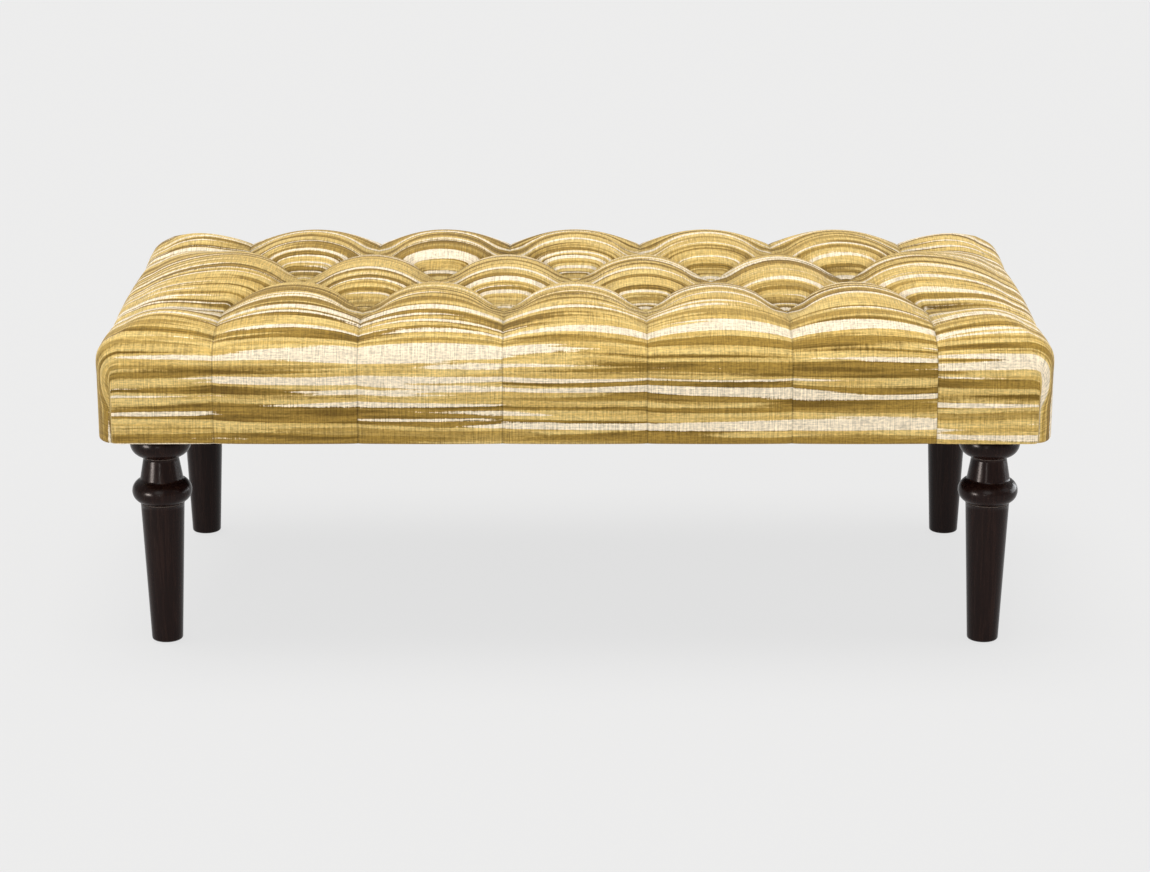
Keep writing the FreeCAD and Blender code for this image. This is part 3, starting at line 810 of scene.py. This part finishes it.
    def to_tuft(self, across: np.ndarray, along: np.ndarray) -> np.ndarray:
        """Distance to the nearest tuft, of the outer rows or of the middle row.

        Args:
            across: Distance from the seat's middle along its length.
            along: Distance from the seat's middle along its depth.

        Returns:
            The distance.
        """
        most = self.half_pitches // 2
        outer_x = self.half + self.pitch * np.clip(np.round((across - self.half) / self.pitch), 0, most)
        middle_x = self.pitch * np.clip(np.round(across / self.pitch), 0, most)
        return np.minimum(np.hypot(across - outer_x, along - self.row), np.hypot(across - middle_x, along))

    def tufting(self, p: np.ndarray, q: np.ndarray) -> tuple[np.ndarray, np.ndarray]:
        """Depth of the tufted surface below the full form, and the distance to the nearest crease.

        Between the outer rows the creases are the lines where x/half +- y/row is even, and a lobe is the
        product of two half-sine swells. Outside them a pleat runs straight out from each outer tuft. Near
        the tufts the power of the swells grows, so that the lobes run out flat.

        Args:
            p: Cloth coordinate along the seat.
            q: Cloth coordinate across the seat.

        Returns:
            Depth and distance.
        """
        across = np.abs(p)
        along = np.abs(q)
        up = p / self.half + q / self.row
        down = p / self.half - q / self.row
        a = np.mod(up, 2) / 2
        b = np.mod(down, 2) / 2
        v = np.mod(p / self.pitch + 0.5, 1)
        w = np.clip((q + self.row) / (2 * self.row), 0, 1)
        dx = np.maximum(across - self.last, 0)
        dy = np.maximum(along - self.row, 0)
        end_depth = self.pleat_depth(dx, (self.inner_x - self.last) * self.end_reach, self.end_depth)
        side_depth = self.pleat_depth(dy, self.inner_y - self.row, self.wall_depth)
        rise_x = self.crease_rise * (1 - smooth_step(dx / self.rise_reach))
        rise_y = self.crease_rise * (1 - smooth_step(dy / self.rise_reach))
        both = np.cos(np.pi * a) * np.cos(np.pi * b)
        tight = both**4
        diamond = np.floor(up / 2) == np.floor(down / 2)
        inside = smooth_step((self.last - across) / self.half)
        clear = np.where(diamond, inside, smooth_step(self.row_clear - along / self.row))
        flat = self.flat_edge * inside
        power = self.lobe_power + clear * (self.diamond_power - self.lobe_power + self.flat_tuft * tight)
        power = power + (1 - clear) * flat * tight
        near_row = 1 - smooth_step(dy / self.flat_reach)
        side_power = self.lobe_power + flat * near_row * np.cos(np.pi * v) ** 8
        inner_depth = self.tuft_depth - self.crease_rise * (1 - both**2)
        inner = inner_depth * (1 - self.swell(a, power) * self.swell(b, power))
        side = (side_depth - rise_y * (1 - np.cos(np.pi * v) ** 4)) * (1 - self.swell(v, side_power) ** 2)
        end = (end_depth - rise_x * (1 - np.cos(np.pi * w) ** 4)) * (1 - self.swell(w) ** 2)
        near_x = self.swell(np.minimum(dx / self.pitch, 0.5)) ** 2
        near_y = self.swell(np.minimum(dy / self.pitch, 0.5)) ** 2
        corner = side_depth * (1 - near_x) + near_x * end_depth * (1 - near_y)
        gap = 2 * self.half * self.row / math.hypot(self.half, self.row)
        inner_gap = gap * np.minimum(np.minimum(a, 1 - a), np.minimum(b, 1 - b))
        side_gap = self.pitch * np.minimum(v, 1 - v)
        end_gap = 2 * self.row * np.minimum(w, 1 - w)
        in_x = across <= self.last
        in_y = along <= self.row
        where = [in_x & in_y, in_x, in_y]
        depth = np.select(where, [inner, side, end], corner)
        distance = np.select(where, [inner_gap, side_gap, end_gap], np.minimum(dx, dy))
        depth = depth + self.pinch * np.exp(-distance / self.pinch_width)
        depth = depth + self.dimple * np.exp(-((self.to_tuft(across, along) / self.dimple_radius) ** 2))
        return depth, distance

    def full_height(self, inset: np.ndarray) -> np.ndarray:
        """Height of the full form at an inset from the wall: the arch up to a level crown."""
        short = np.maximum(self.crest_inset - inset, 0)
        return self.crown - self.arch + np.sqrt(self.arch**2 - short**2)

    def hold(self, distance: np.ndarray) -> np.ndarray:
        """How firmly a point is held by the nearest crease."""
        return 1 - smooth_step((distance - self.hold_width) / self.hold_fade)

    def grip(self, skirt: Skirt, distance: np.ndarray) -> np.ndarray:
        """How firmly the skirt is held: at its pleats, and more and more towards the hem."""
        low = smooth_step((self.edge - skirt.up) / (self.edge - self.hem) * self.grip_rate)
        return np.maximum(self.hold(distance), low[:, None])

    def lay_out(self) -> None:
        """Set the columns and rows of the top, so that tufts and creases fall on them."""
        steps = self.steps
        most = self.half_pitches
        columns = np.linspace(-most, most, 2 * most * steps + 1) * self.half
        rows = np.linspace(-1, 1, 2 * steps + 1) * self.row
        steps_x = round((self.inner_x - self.last) / self.half * steps)
        steps_y = round((self.inner_y - self.row) / self.row * steps * self.edge_steps)
        outer_x = np.linspace(self.last, self.inner_x, steps_x + 1)[1:]
        outer_y = np.linspace(self.row, self.inner_y, steps_y + 1)[1:]
        self.columns = np.concatenate([-outer_x[::-1], columns, outer_x])
        self.rows = np.concatenate([-outer_y[::-1], rows, outer_y])

    def add_top(self, sheet: Sheet) -> None:
        """Add the top, as a height over a rectangle, drawn in along its own normals.

        The height comes from the inset from the nearest wall, blended round the corners. On the rim the
        direction is the skirt's own, so that both meet. Each cell is split along the nearer crease.

        Args:
            sheet: The mesh to add to.
        """
        x, y = np.meshgrid(self.columns, self.rows)
        sides = np.maximum([self.inner_x - np.abs(x), self.inner_y - np.abs(y)], NEAR_ZERO)
        inset = self.shoulder + np.sum(sides**-self.corner_blend, axis=0) ** (-1 / self.corner_blend)
        z = self.full_height(inset)
        slope_y, slope_x = np.gradient(z, self.rows, self.columns)
        steep = np.sqrt(slope_x**2 + slope_y**2 + 1)
        depth, distance = self.tufting(x, y)
        drawn = [x + slope_x / steep * depth, y + slope_y / steep * depth, z - depth / steep]
        edge_x = np.abs(x) > self.inner_x - HAIR
        edge_y = np.abs(y) > self.inner_y - HAIR
        level = math.cos(self.lean)
        rim = [x - np.sign(x) * edge_x * ~edge_y * level * depth,
               y - np.sign(y) * edge_y * ~edge_x * level * depth,
               z - math.sin(self.lean) * depth]
        points = np.where((edge_x | edge_y)[:, :, None], np.stack(rim, axis=2), np.stack(drawn, axis=2))
        middle_x = (x[:-1, :-1] + x[1:, 1:]) / 2
        middle_y = (y[:-1, :-1] + y[1:, 1:]) / 2
        a = np.mod(middle_x / self.half + middle_y / self.row, 2)
        b = np.mod(middle_x / self.half - middle_y / self.row, 2)
        slant = np.minimum(a, 2 - a) < np.minimum(b, 2 - b)
        pulled = smooth_step((depth / self.tuft_depth - self.pull_start) / self.pull_span)
        held = np.maximum(self.hold(distance), pulled)
        # Painted shade along the creases and down in the tufts.
        fold = self.painted_shade_mask(distance, depth)
        sheet.add_grid(points, np.stack([x, y], axis=2), held, fold, False, slant)

    def skirt(self) -> Skirt:
        """Profile from the shoulder over the roll, down the wall, round the hem and under.

        Returns:
            The profile, of arcs for roll and hem and straight lines for wall and underside.
        """
        angle = np.linspace(self.lean, 0, self.roll_rows)
        turn = np.linspace(0, math.pi / 2, self.hem_rows)[1:]
        wall = np.linspace(self.edge, self.hem + self.hem_radius, self.wall_rows)[1:]
        under = np.linspace(0, self.hem_turn, self.hem_rows)[1:]
        flat = self.shoulder - self.hem_radius
        roll_out = self.shoulder - self.roll * (1 - np.cos(angle))
        turn_out = flat + self.hem_radius * np.cos(turn)
        out = np.concatenate([roll_out, np.full(wall.size, self.shoulder), turn_out, flat - under])
        roll_up = self.edge + self.roll * np.sin(angle)
        turn_up = self.hem + self.hem_radius * (1 - np.sin(turn))
        up = np.concatenate([roll_up, wall, turn_up, np.full(under.size, self.hem)])
        level = out.size - angle.size
        push_out = np.concatenate([np.cos(angle), np.ones(level)])
        push_up = np.concatenate([np.sin(angle), np.zeros(level)])
        cloth = np.concatenate([[0], np.cumsum(np.hypot(np.diff(out), np.diff(up)))])
        swell = self.end_swell * np.sin(np.pi * np.clip(cloth / self.roll_arc, 0, 1)) ** 2
        return Skirt(out, up, push_out, push_up, cloth, swell)

    def add_sides(self, sheet: Sheet) -> None:
        """Add the four sides: the skirt profile carried along each edge of the inner rectangle.

        Args:
            sheet: The mesh to add to.
        """
        skirt = self.skirt()
        for side in (-1, 1):
            x, cloth = np.meshgrid(self.columns, skirt.cloth)
            q = side * (self.inner_y + cloth)
            depth, distance = self.tufting(x, q)
            out, up = skirt.drawn_in(depth)
            points = np.stack([x, side * (self.inner_y + out), up], axis=2)
            held = self.grip(skirt, distance)
            # Painted shade along the pleats of the long sides.
            sheet.add_grid(points, np.stack([x, q], axis=2), held, self.painted_shade_mask(distance), side < 0)
            y, cloth = np.meshgrid(self.rows, skirt.cloth)
            p = side * (self.inner_x + cloth)
            depth, distance = self.tufting(p, y)
            out, up = skirt.drawn_in(depth - skirt.swell[:, None])
            points = np.stack([side * (self.inner_x + out), y, up], axis=2)
            held = np.maximum(self.grip(skirt, distance), self.end_hold)
            # Painted shade along the pleats of the ends.
            sheet.add_grid(points, np.stack([p, y], axis=2), held, self.painted_shade_mask(distance), side > 0)

    def add_corners(self, sheet: Sheet) -> None:
        """Add the four corners: the skirt turned through a quarter circle, with a sewn fold on the wall.

        Above the fold the cloth is eased round the corner. Below it the cloth on either side runs straight
        on from its own wall, and what is left over is tucked into the fold.

        Args:
            sheet: The mesh to add to.
        """
        skirt = self.skirt()
        turn, cloth = np.meshgrid(np.linspace(0, math.pi / 2, self.corner_columns), skirt.cloth)
        fold = smooth_step((self.edge + self.seam_start - skirt.up) / self.seam_fade)[:, None]
        away = (turn - self.seam_turn) * self.shoulder
        near = fold * (1 - smooth_step(np.abs(away) / self.flap_width))
        groove = near * self.seam_depth * np.exp(-np.abs(away) / self.seam_width)
        flap = near * self.flap * (away > 0)
        raised = flap - groove + skirt.swell[:, None] * np.cos(turn) ** 2
        out, up = skirt.drawn_in(-raised)
        ease = self.shoulder / np.maximum(cloth, self.shoulder)
        straight = np.where(away > 0, math.pi / 2 - (math.pi / 2 - turn) * ease, turn * ease)
        sheet_turn = turn + (straight - turn) * fold
        held = self.grip(skirt, np.abs(away) + self.corner_slack * (1 - fold))
        # Painted shade along the sewn fold of the corner.
        seam_shade = fold * self.painted_shade_mask(np.abs(away))
        for corner in Corner:
            side_x, side_y = corner.value
            x = side_x * (self.inner_x + out * np.cos(turn))
            y = side_y * (self.inner_y + out * np.sin(turn))
            p = side_x * (self.inner_x + cloth * np.cos(sheet_turn))
            q = side_y * (self.inner_y + cloth * np.sin(sheet_turn))
            points = np.stack([x, y, up], axis=2)
            sheet.add_grid(points, np.stack([p, q], axis=2), held, seam_shade, side_x * side_y > 0)

    def build(self) -> bpy.types.Object:
        """Returns:
            The finished piece.
        """
        sheet = Sheet()
        self.lay_out()
        self.add_top(sheet)
        self.add_sides(sheet)
        self.add_corners(sheet)
        piece = sheet.build("tufted_cover", "sheet", self.tucks)
        dress(piece, LinenFinish().material())
        ClothSettle().run(piece)
        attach(piece, ROOT)
        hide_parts("seat_cover", "batting_wrap", "foam_pad")
        return piece


def arc_points(start: Pair, end: Pair, widest: float, count: int) -> np.ndarray:
    """Points of a circle arc between two points, bulging outward to the given radius at its middle.

    Args:
        start: Radius and height of the first point.
        end: Radius and height of the last point.
        widest: Largest radius of the bead.
        count: Number of points.

    Returns:
        Radius and height, one row to a point.
    """
    first = np.array(start)
    last = np.array(end)
    chord = last - first
    length = float(np.hypot(*chord))
    bulge = widest - (start[0] + end[0]) / 2
    radius = (length**2 / 4 + bulge**2) / (2 * bulge)
    outward = np.array([chord[1], -chord[0]]) / length
    centre = (first + last) / 2 + outward * (bulge - radius)
    from_angle = math.atan2(*(first - centre)[::-1])
    to_angle = math.atan2(*(last - centre)[::-1])
    angle = np.linspace(from_angle, to_angle, count)
    return centre + radius * np.stack([np.cos(angle), np.sin(angle)], axis=1)


def line_points(start: np.ndarray, end: np.ndarray, count: int) -> np.ndarray:
    """Evenly spaced points of a straight line, without the first one."""
    return start + (end - start) * np.linspace(0, 1, count)[1:, None]


@dataclass
class TurnedLeg:
    """A turned leg: tapered shaft, round collar, cone-shaped neck and a bead under the seat."""

    corner: Corner
    axis_x: float = 0.5405
    axis_y: float = 0.235
    bottom: float = 0.002
    foot_radius: float = 0.0205
    foot_rounding: float = 0.003
    collar_bottom: float = 0.193
    shaft_radius: float = 0.02875
    shaft_step: float = 0.0002
    collar_radius: float = 0.039
    collar_top: float = 0.223
    neck_radius: float = 0.02825
    bead_bottom: float = 0.255
    neck_top_radius: float = 0.0229
    bead_radius: float = 0.03975
    top: float = 0.291
    quirk: float = 0.0009
    quirk_step: float = 0.4
    quirk_height: float = 0.0016
    segments: int = 88
    round_rows: int = 7
    shaft_rows: int = 30
    collar_rows: int = 26
    neck_rows: int = 12
    bead_rows: int = 28

    def profile(self) -> np.ndarray:
        """Lines and arcs of the turning, from the foot's middle to the middle of the top.

        Returns:
            Radius and height, one row to a point.
        """
        rounding = np.linspace(-math.pi / 2, 0, self.round_rows)
        foot = np.stack([self.foot_radius - self.foot_rounding * (1 - np.cos(rounding)),
                         self.bottom + self.foot_rounding * (1 + np.sin(rounding))], axis=1)
        step = self.quirk * self.quirk_step
        shaft_end = np.array([self.shaft_radius - self.shaft_step, self.collar_bottom - self.quirk_height])
        shaft = line_points(foot[-1], shaft_end, self.shaft_rows)
        collar_start = (self.shaft_radius + step, self.collar_bottom)
        collar_end = (self.neck_radius, self.collar_top)
        collar = arc_points(collar_start, collar_end, self.collar_radius, self.collar_rows)
        neck_end = np.array([self.neck_top_radius, self.bead_bottom - self.quirk_height])
        neck = line_points(collar[-1], neck_end, self.neck_rows)
        bead_start = (self.neck_top_radius + step, self.bead_bottom)
        bead_end = (self.neck_top_radius, self.top)
        bead = arc_points(bead_start, bead_end, self.bead_radius, self.bead_rows)
        return np.concatenate([[[0, self.bottom]], foot, shaft, self.ring(shaft_end), collar, neck,
                               self.ring(neck_end), bead, [[0, self.top]]])

    def ring(self, start: np.ndarray) -> np.ndarray:
        """A fine rounded ring, half an ellipse, that stands proud of the turning just under a bead.

        Args:
            start: Radius and height of its lower end.

        Returns:
            Radius and height, one row to a point.
        """
        angle = np.linspace(-math.pi / 2, math.pi / 2, self.round_rows)
        half = self.quirk_height / 2
        radius = start[0] + self.quirk * np.cos(angle)
        return np.stack([radius, start[1] + half + half * np.sin(angle)], axis=1)

    def on_ring(self, z: np.ndarray, top: float) -> np.ndarray:
        """Tell which points lie on the fine ring that ends at a height."""
        return np.abs(z - top + self.quirk_height / 2) < self.quirk_height / 2 - HAIR

    def build(self, material: bpy.types.Material) -> bpy.types.Object:
        """Args:
            material: The leg's finish.

        Returns:
            The finished piece.
        """
        profile = self.profile()
        angle = np.linspace(0, 2 * math.pi, self.segments + 1)
        side_x, side_y = self.corner.value
        x = side_x * self.axis_x + profile[:, :1] * np.cos(angle)
        y = side_y * self.axis_y + profile[:, :1] * np.sin(angle)
        z = np.broadcast_to(profile[:, 1:], x.shape)
        points = np.stack([x, y, z], axis=2)
        around = np.broadcast_to(angle * self.shaft_radius, x.shape)
        # Painted highlight: the fine rings are marked in the fold attribute, which the lacquer lightens.
        ring_glint = (self.on_ring(z, self.collar_bottom) | self.on_ring(z, self.bead_bottom)).astype(float)
        sheet = Sheet()
        sheet.add_grid(points, np.stack([around, z], axis=2), np.zeros(x.shape), ring_glint, False)
        piece = sheet.build(f"turned_leg_{self.corner.label}", "turning")
        dress(piece, material)
        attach(piece, ROOT)
        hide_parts(f"leg_{self.corner.label}")
        return piece


@dataclass
class Underside:
    """The dust cover stretched under the frame, and the staples that hold it."""

    length: float = 1.204
    depth: float = 0.604
    level: float = 0.2918
    thickness: float = 0.5 * MM
    sag: float = 0.003
    sag_power: float = 0.7
    ripple: float = 0.0004
    ripple_turns: Pair = (17, 3)
    columns: int = 121
    rows: int = 61
    # Staples: where they sit along the edges, and the bends of the wire.
    gap: float = 0.055
    margin: float = 0.009
    corner_gap: float = 0.02
    crown: float = 0.010
    crown_flat: float = 0.86
    wire: float = 0.0006
    stand_off: float = 0.0006
    leg_top: float = 0.0016
    bend_top: float = 0.0002
    bend_drop: float = 0.0004

    def build_cloth(self) -> bpy.types.Object:
        """Make the cloth, a grid that sags a little between the rails: sag times two half sine waves.

        Returns:
            The finished piece.
        """
        u, v = np.meshgrid(np.linspace(-1, 1, self.columns), np.linspace(-1, 1, self.rows))
        wave_u = np.cos(np.pi / 2 * u)
        wave_v = np.cos(np.pi / 2 * v)
        drop = self.sag * (wave_u * wave_v) ** self.sag_power
        turns = self.ripple_turns[0] * u + self.ripple_turns[1] * v
        ripple = self.ripple * np.sin(turns) * wave_v * wave_u
        points = np.stack([u * self.length / 2, v * self.depth / 2, self.level - drop + ripple], axis=2)
        sheet = Sheet()
        sheet.add_grid(points, points[:, :, :2], np.zeros(u.shape), np.zeros(u.shape), True)
        piece = sheet.build("dust_cloth", "sheet")
        thick = piece.modifiers.new("thickness", "SOLIDIFY")
        thick.thickness = self.thickness
        thick.offset = 0
        black = FibreFinish("black_dust_cloth", linear(26, 26, 27), linear(44, 44, 45), (420, 420, 420))
        dress(piece, black.material())
        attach(piece, ROOT)
        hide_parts("dust_cover")
        return piece

    def staple_places(self) -> np.ndarray:
        """Spread the staples along the four edges of the cloth.

        Returns:
            Middle of each staple and the direction of its crown, one row to a staple.
        """
        half_x = self.length / 2 - self.margin
        half_y = self.depth / 2 - self.margin
        along_x = np.linspace(-1, 1, int(self.length / self.gap)) * (half_x - self.corner_gap)
        along_y = np.linspace(-1, 1, int(self.depth / self.gap)) * (half_y - self.corner_gap)
        one_x = np.ones(along_x.size)
        one_y = np.ones(along_y.size)
        edges = [np.stack([along_x, side * half_y * one_x, one_x, 0 * one_x], axis=1) for side in (-1, 1)]
        edges += [np.stack([side * half_x * one_y, along_y, 0 * one_y, one_y], axis=1) for side in (-1, 1)]
        return np.concatenate(edges)

    def build_staples(self, material: bpy.types.Material) -> bpy.types.Object:
        """Make all staples: a square wire carried along a bent path, at each place.

        Args:
            material: The steel of the wire.

        Returns:
            One piece with all staples.
        """
        half = self.crown / 2
        flat = half * self.crown_flat
        path = np.array([[-half, self.leg_top], [-half, self.bend_top], [-flat, -self.bend_drop],
                         [flat, -self.bend_drop], [half, self.bend_top], [half, self.leg_top]])
        ring = np.array([[-1, -1], [1, -1], [1, 1], [-1, 1], [-1, -1]]) * self.wire / 2
        along = path[:, None, 0] + np.zeros(len(ring))[None, :]
        across = ring[None, :, 0] + np.zeros(len(path))[:, None]
        height = self.level - self.stand_off + (path[:, None, 1] + ring[None, :, 1])
        none = np.zeros(along.shape)
        sheet = Sheet()
        for x, y, dir_x, dir_y in self.staple_places():
            points = np.stack([x + along * dir_x - across * dir_y, y + along * dir_y + across * dir_x,
                               height], axis=2)
            sheet.add_grid(points, points[:, :, :2], none, none, False)
        piece = sheet.build("dust_cloth_staples")
        dress(piece, material)
        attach(piece, ROOT)
        return piece


@dataclass
class InnerWork:
    """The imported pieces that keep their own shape: frame, deck, ties, fixings and glides."""

    nodes: dict[str, bpy.types.Object]

    def paint(self, names: list[str], material: bpy.types.Material) -> None:
        """Put one material on every slot of the named nodes.

        Args:
            names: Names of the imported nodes.
            material: Their finish.
        """
        for name in names:
            for slot in self.nodes[name].material_slots:
                slot.material = material

    def dress(self, steel: bpy.types.Material) -> None:
        """Give each kind of piece its finish.

        Args:
            steel: The finish of screws, bolts, nuts and washers.
        """
        corners = [corner.label for corner in Corner]
        pine = (linear(212, 178, 128), linear(178, 138, 88))
        along_x = TimberFinish("pine_along_seat", *pine)
        along_y = TimberFinish("pine_across_seat", *pine, grain=(120, 6, 120))
        upright = TimberFinish("pine_blocks", *pine, grain=(90, 90, 14))
        plywood = TimberFinish("birch_plywood", linear(216, 188, 144), linear(190, 156, 108), (8, 60, 420))
        twine = FibreFinish("waxed_twine", linear(212, 202, 178), linear(176, 164, 138), (900, 900, 300))
        pad = FibreFinish("glide_plastic", linear(42, 39, 37), linear(58, 54, 51), (500, 500, 500),
                          roughness=0.55, relief=0.08 * MM)
        self.paint(["front_rail", "rear_rail"], along_x.material())
        self.paint(["left_rail", "right_rail", "left_cross_rail", "right_cross_rail"], along_y.material())
        self.paint([f"corner_block_{corner}" for corner in corners], upright.material())
        self.paint(["deck_board"], plywood.material())
        self.paint(["tuft_twines"], twine.material())
        self.paint([f"glide_{corner}" for corner in corners], pad.material())
        fixings = ["tuft_washers", "rail_screws", "block_screws", "deck_screws"]
        fixings += [f"hanger_bolt_{corner}" for corner in corners]
        fixings += [f"insert_nut_{corner}" for corner in corners]
        self.paint(fixings, steel)


def set_up(name: str, lamp: bpy.types.Light, place: Triple, target: Triple) -> bpy.types.Object:
    """Put a lamp into the scene, turned to a target.

    Args:
        name: Name of the lamp.
        lamp: The lamp's light.
        place: Where it stands.
        target: Where it shines.

    Returns:
        The lamp's object.
    """
    item = bpy.data.objects.new(name, lamp)
    item.location = place
    item.rotation_euler = (Vector(target) - Vector(place)).to_track_quat("-Z", "Y").to_euler()
    bpy.context.scene.collection.objects.link(item)
    return item


@dataclass
class Studio:
    """Pale floor, soft light and the camera."""

    eye: Triple = (0.0, -4.235, 1.434)
    pitch: float = math.radians(16.085)
    focal_pixels: float = 3194.0
    image_width: float = 1150.0
    sensor_width: float = 36.0
    floor_size: float = 60.0
    floor_tone: int = 233
    shadow_share: float = 0.115
    daylight: float = 0.45
    lamp_target: Triple = (0.0, 0.0, 0.0)
    panel_target: Triple = (0.0, 0.0, 0.25)

    def build_floor(self) -> None:
        """Make the floor, whose shadow shows lightly and which can be looked through from below."""
        half = self.floor_size / 2
        corners = [(-half, -half, 0), (half, -half, 0), (half, half, 0), (-half, half, 0)]
        mesh = bpy.data.meshes.new("studio_floor")
        mesh.from_pydata(corners, [], [(0, 1, 2, 3)])
        floor = bpy.data.objects.new("studio_floor", mesh)
        bpy.context.scene.collection.objects.link(floor)
        tone = linear(self.floor_tone, self.floor_tone, self.floor_tone)
        paint = Paint("floor_paper", Roughness=0.95, Specular_IOR_Level=0.0, Base_Color=tone)
        paper = Shade(paint, paint.shader.outputs[0])
        plain = paint.add("ShaderNodeEmission", {}, {"Color": tone})
        path = paint.add("ShaderNodeLightPath", {}, {}, "Is Camera Ray")
        outputs = path.socket.node.outputs
        seen = path + Shade(paint, outputs["Is Glossy Ray"]) + Shade(paint, outputs["Is Transmission Ray"])
        factor = seen * (1 - self.shadow_share)
        shown = paint.add("ShaderNodeMixShader", {}, {0: factor, 1: paper, 2: plain})
        clear = paint.add("ShaderNodeBsdfTransparent", {}, {})
        back = paint.add("ShaderNodeNewGeometry", {}, {}, "Backfacing")
        shown = paint.add("ShaderNodeMixShader", {}, {0: back, 1: shown, 2: clear})
        paint.tree.links.new(shown.socket, paint.tree.nodes["Material Output"].inputs["Surface"])
        dress(floor, paint.material)

    def build_lamp(self, name: str, place: Triple, strength: float, spread: float, tint: Triple) -> None:
        """Shine one wide, even light at the seat from far away.

        Args:
            name: Name of the lamp.
            place: Direction that it shines from.
            strength: Light on a face turned to it.
            spread: How wide the lamp looks, in degrees.
            tint: Colour of the light.
        """
        lamp = bpy.data.lights.new(name, "SUN")
        lamp.energy = strength
        lamp.angle = math.radians(spread)
        lamp.color = tint
        set_up(name, lamp, place, self.lamp_target)

    def build_panel(self, name: str, place: Triple, sides: Pair, power: float, tint: Triple) -> None:
        """Stand one lit panel round the set, to be mirrored in the lacquer.

        Args:
            name: Name of the lamp.
            place: Middle of the panel.
            sides: Width and height of the panel.
            power: Watts.
            tint: Colour of the light.
        """
        lamp = bpy.data.lights.new(name, "AREA")
        lamp.shape = "RECTANGLE"
        lamp.size, lamp.size_y = sides
        lamp.energy = power
        lamp.color = tint
        item = set_up(name, lamp, place, self.panel_target)
        item.visible_camera = False
        item.visible_diffuse = False

    def build_sky(self) -> None:
        """Make the world's even light."""
        world = bpy.data.worlds.new("studio_light")
        world.use_nodes = True
        background = world.node_tree.nodes["Background"]
        background.inputs["Color"].default_value = (1, 1, 1, 1)
        background.inputs["Strength"].default_value = self.daylight
        bpy.context.scene.world = world

    def build_camera(self) -> None:
        """Make the camera, level and tilted down to the seat."""
        lens = bpy.data.cameras.new("photo_camera")
        lens.sensor_width = self.sensor_width
        lens.lens = self.sensor_width * self.focal_pixels / self.image_width
        camera = bpy.data.objects.new("photo_camera", lens)
        camera.location = self.eye
        camera.rotation_euler = (math.pi / 2 - self.pitch, 0, 0)
        bpy.context.scene.collection.objects.link(camera)
        bpy.context.scene.camera = camera

    def build(self) -> None:
        """Make the floor, the lamps, the world's even light and the camera."""
        bpy.context.scene.view_settings.view_transform = "Standard"
        self.build_floor()
        self.build_sky()
        self.build_lamp("key_light", place=(-0.5, 0.2, 5.0), strength=2.3, spread=46, tint=WARM_WHITE)
        self.build_lamp("front_light", place=(-0.6, -4.0, 2.4), strength=0.6, spread=30, tint=WARM_WHITE)
        self.build_lamp("side_light", place=(3.2, -0.6, 2.0), strength=0.24, spread=30, tint=COOL_WHITE)
        self.build_panel("left_strip", place=(-3.1, -2.5, 0.6), sides=(1.0, 0.6), power=130,
                         tint=(1.0, 0.88, 0.82))
        self.build_panel("front_strip", place=(-0.9, -4.6, 0.65), sides=(0.25, 0.5), power=12,
                         tint=(1.0, 0.9, 0.85))
        self.build_panel("rear_panel", place=(3.3, 1.5, 0.6), sides=(2.9, 1.2), power=70,
                         tint=(0.94, 0.97, 1.0))
        self.build_camera()


def main() -> None:
    """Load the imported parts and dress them."""
    logging.basicConfig(level=logging.INFO, format="%(message)s")
    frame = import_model()
    Studio().build()
    steel = MetalFinish().material()
    lacquer = LacquerFinish().material()
    pieces = [SeatCover().build()]
    pieces += [TurnedLeg(corner).build(lacquer) for corner in Corner]
    underside = Underside()
    pieces += [underside.build_cloth(), underside.build_staples(steel)]
    InnerWork(frame["nodes"]).dress(steel)
    for piece in pieces:
        LOG.info("%s: %d faces", piece.name, len(piece.data.polygons))


if __name__ == "__main__":
    main()
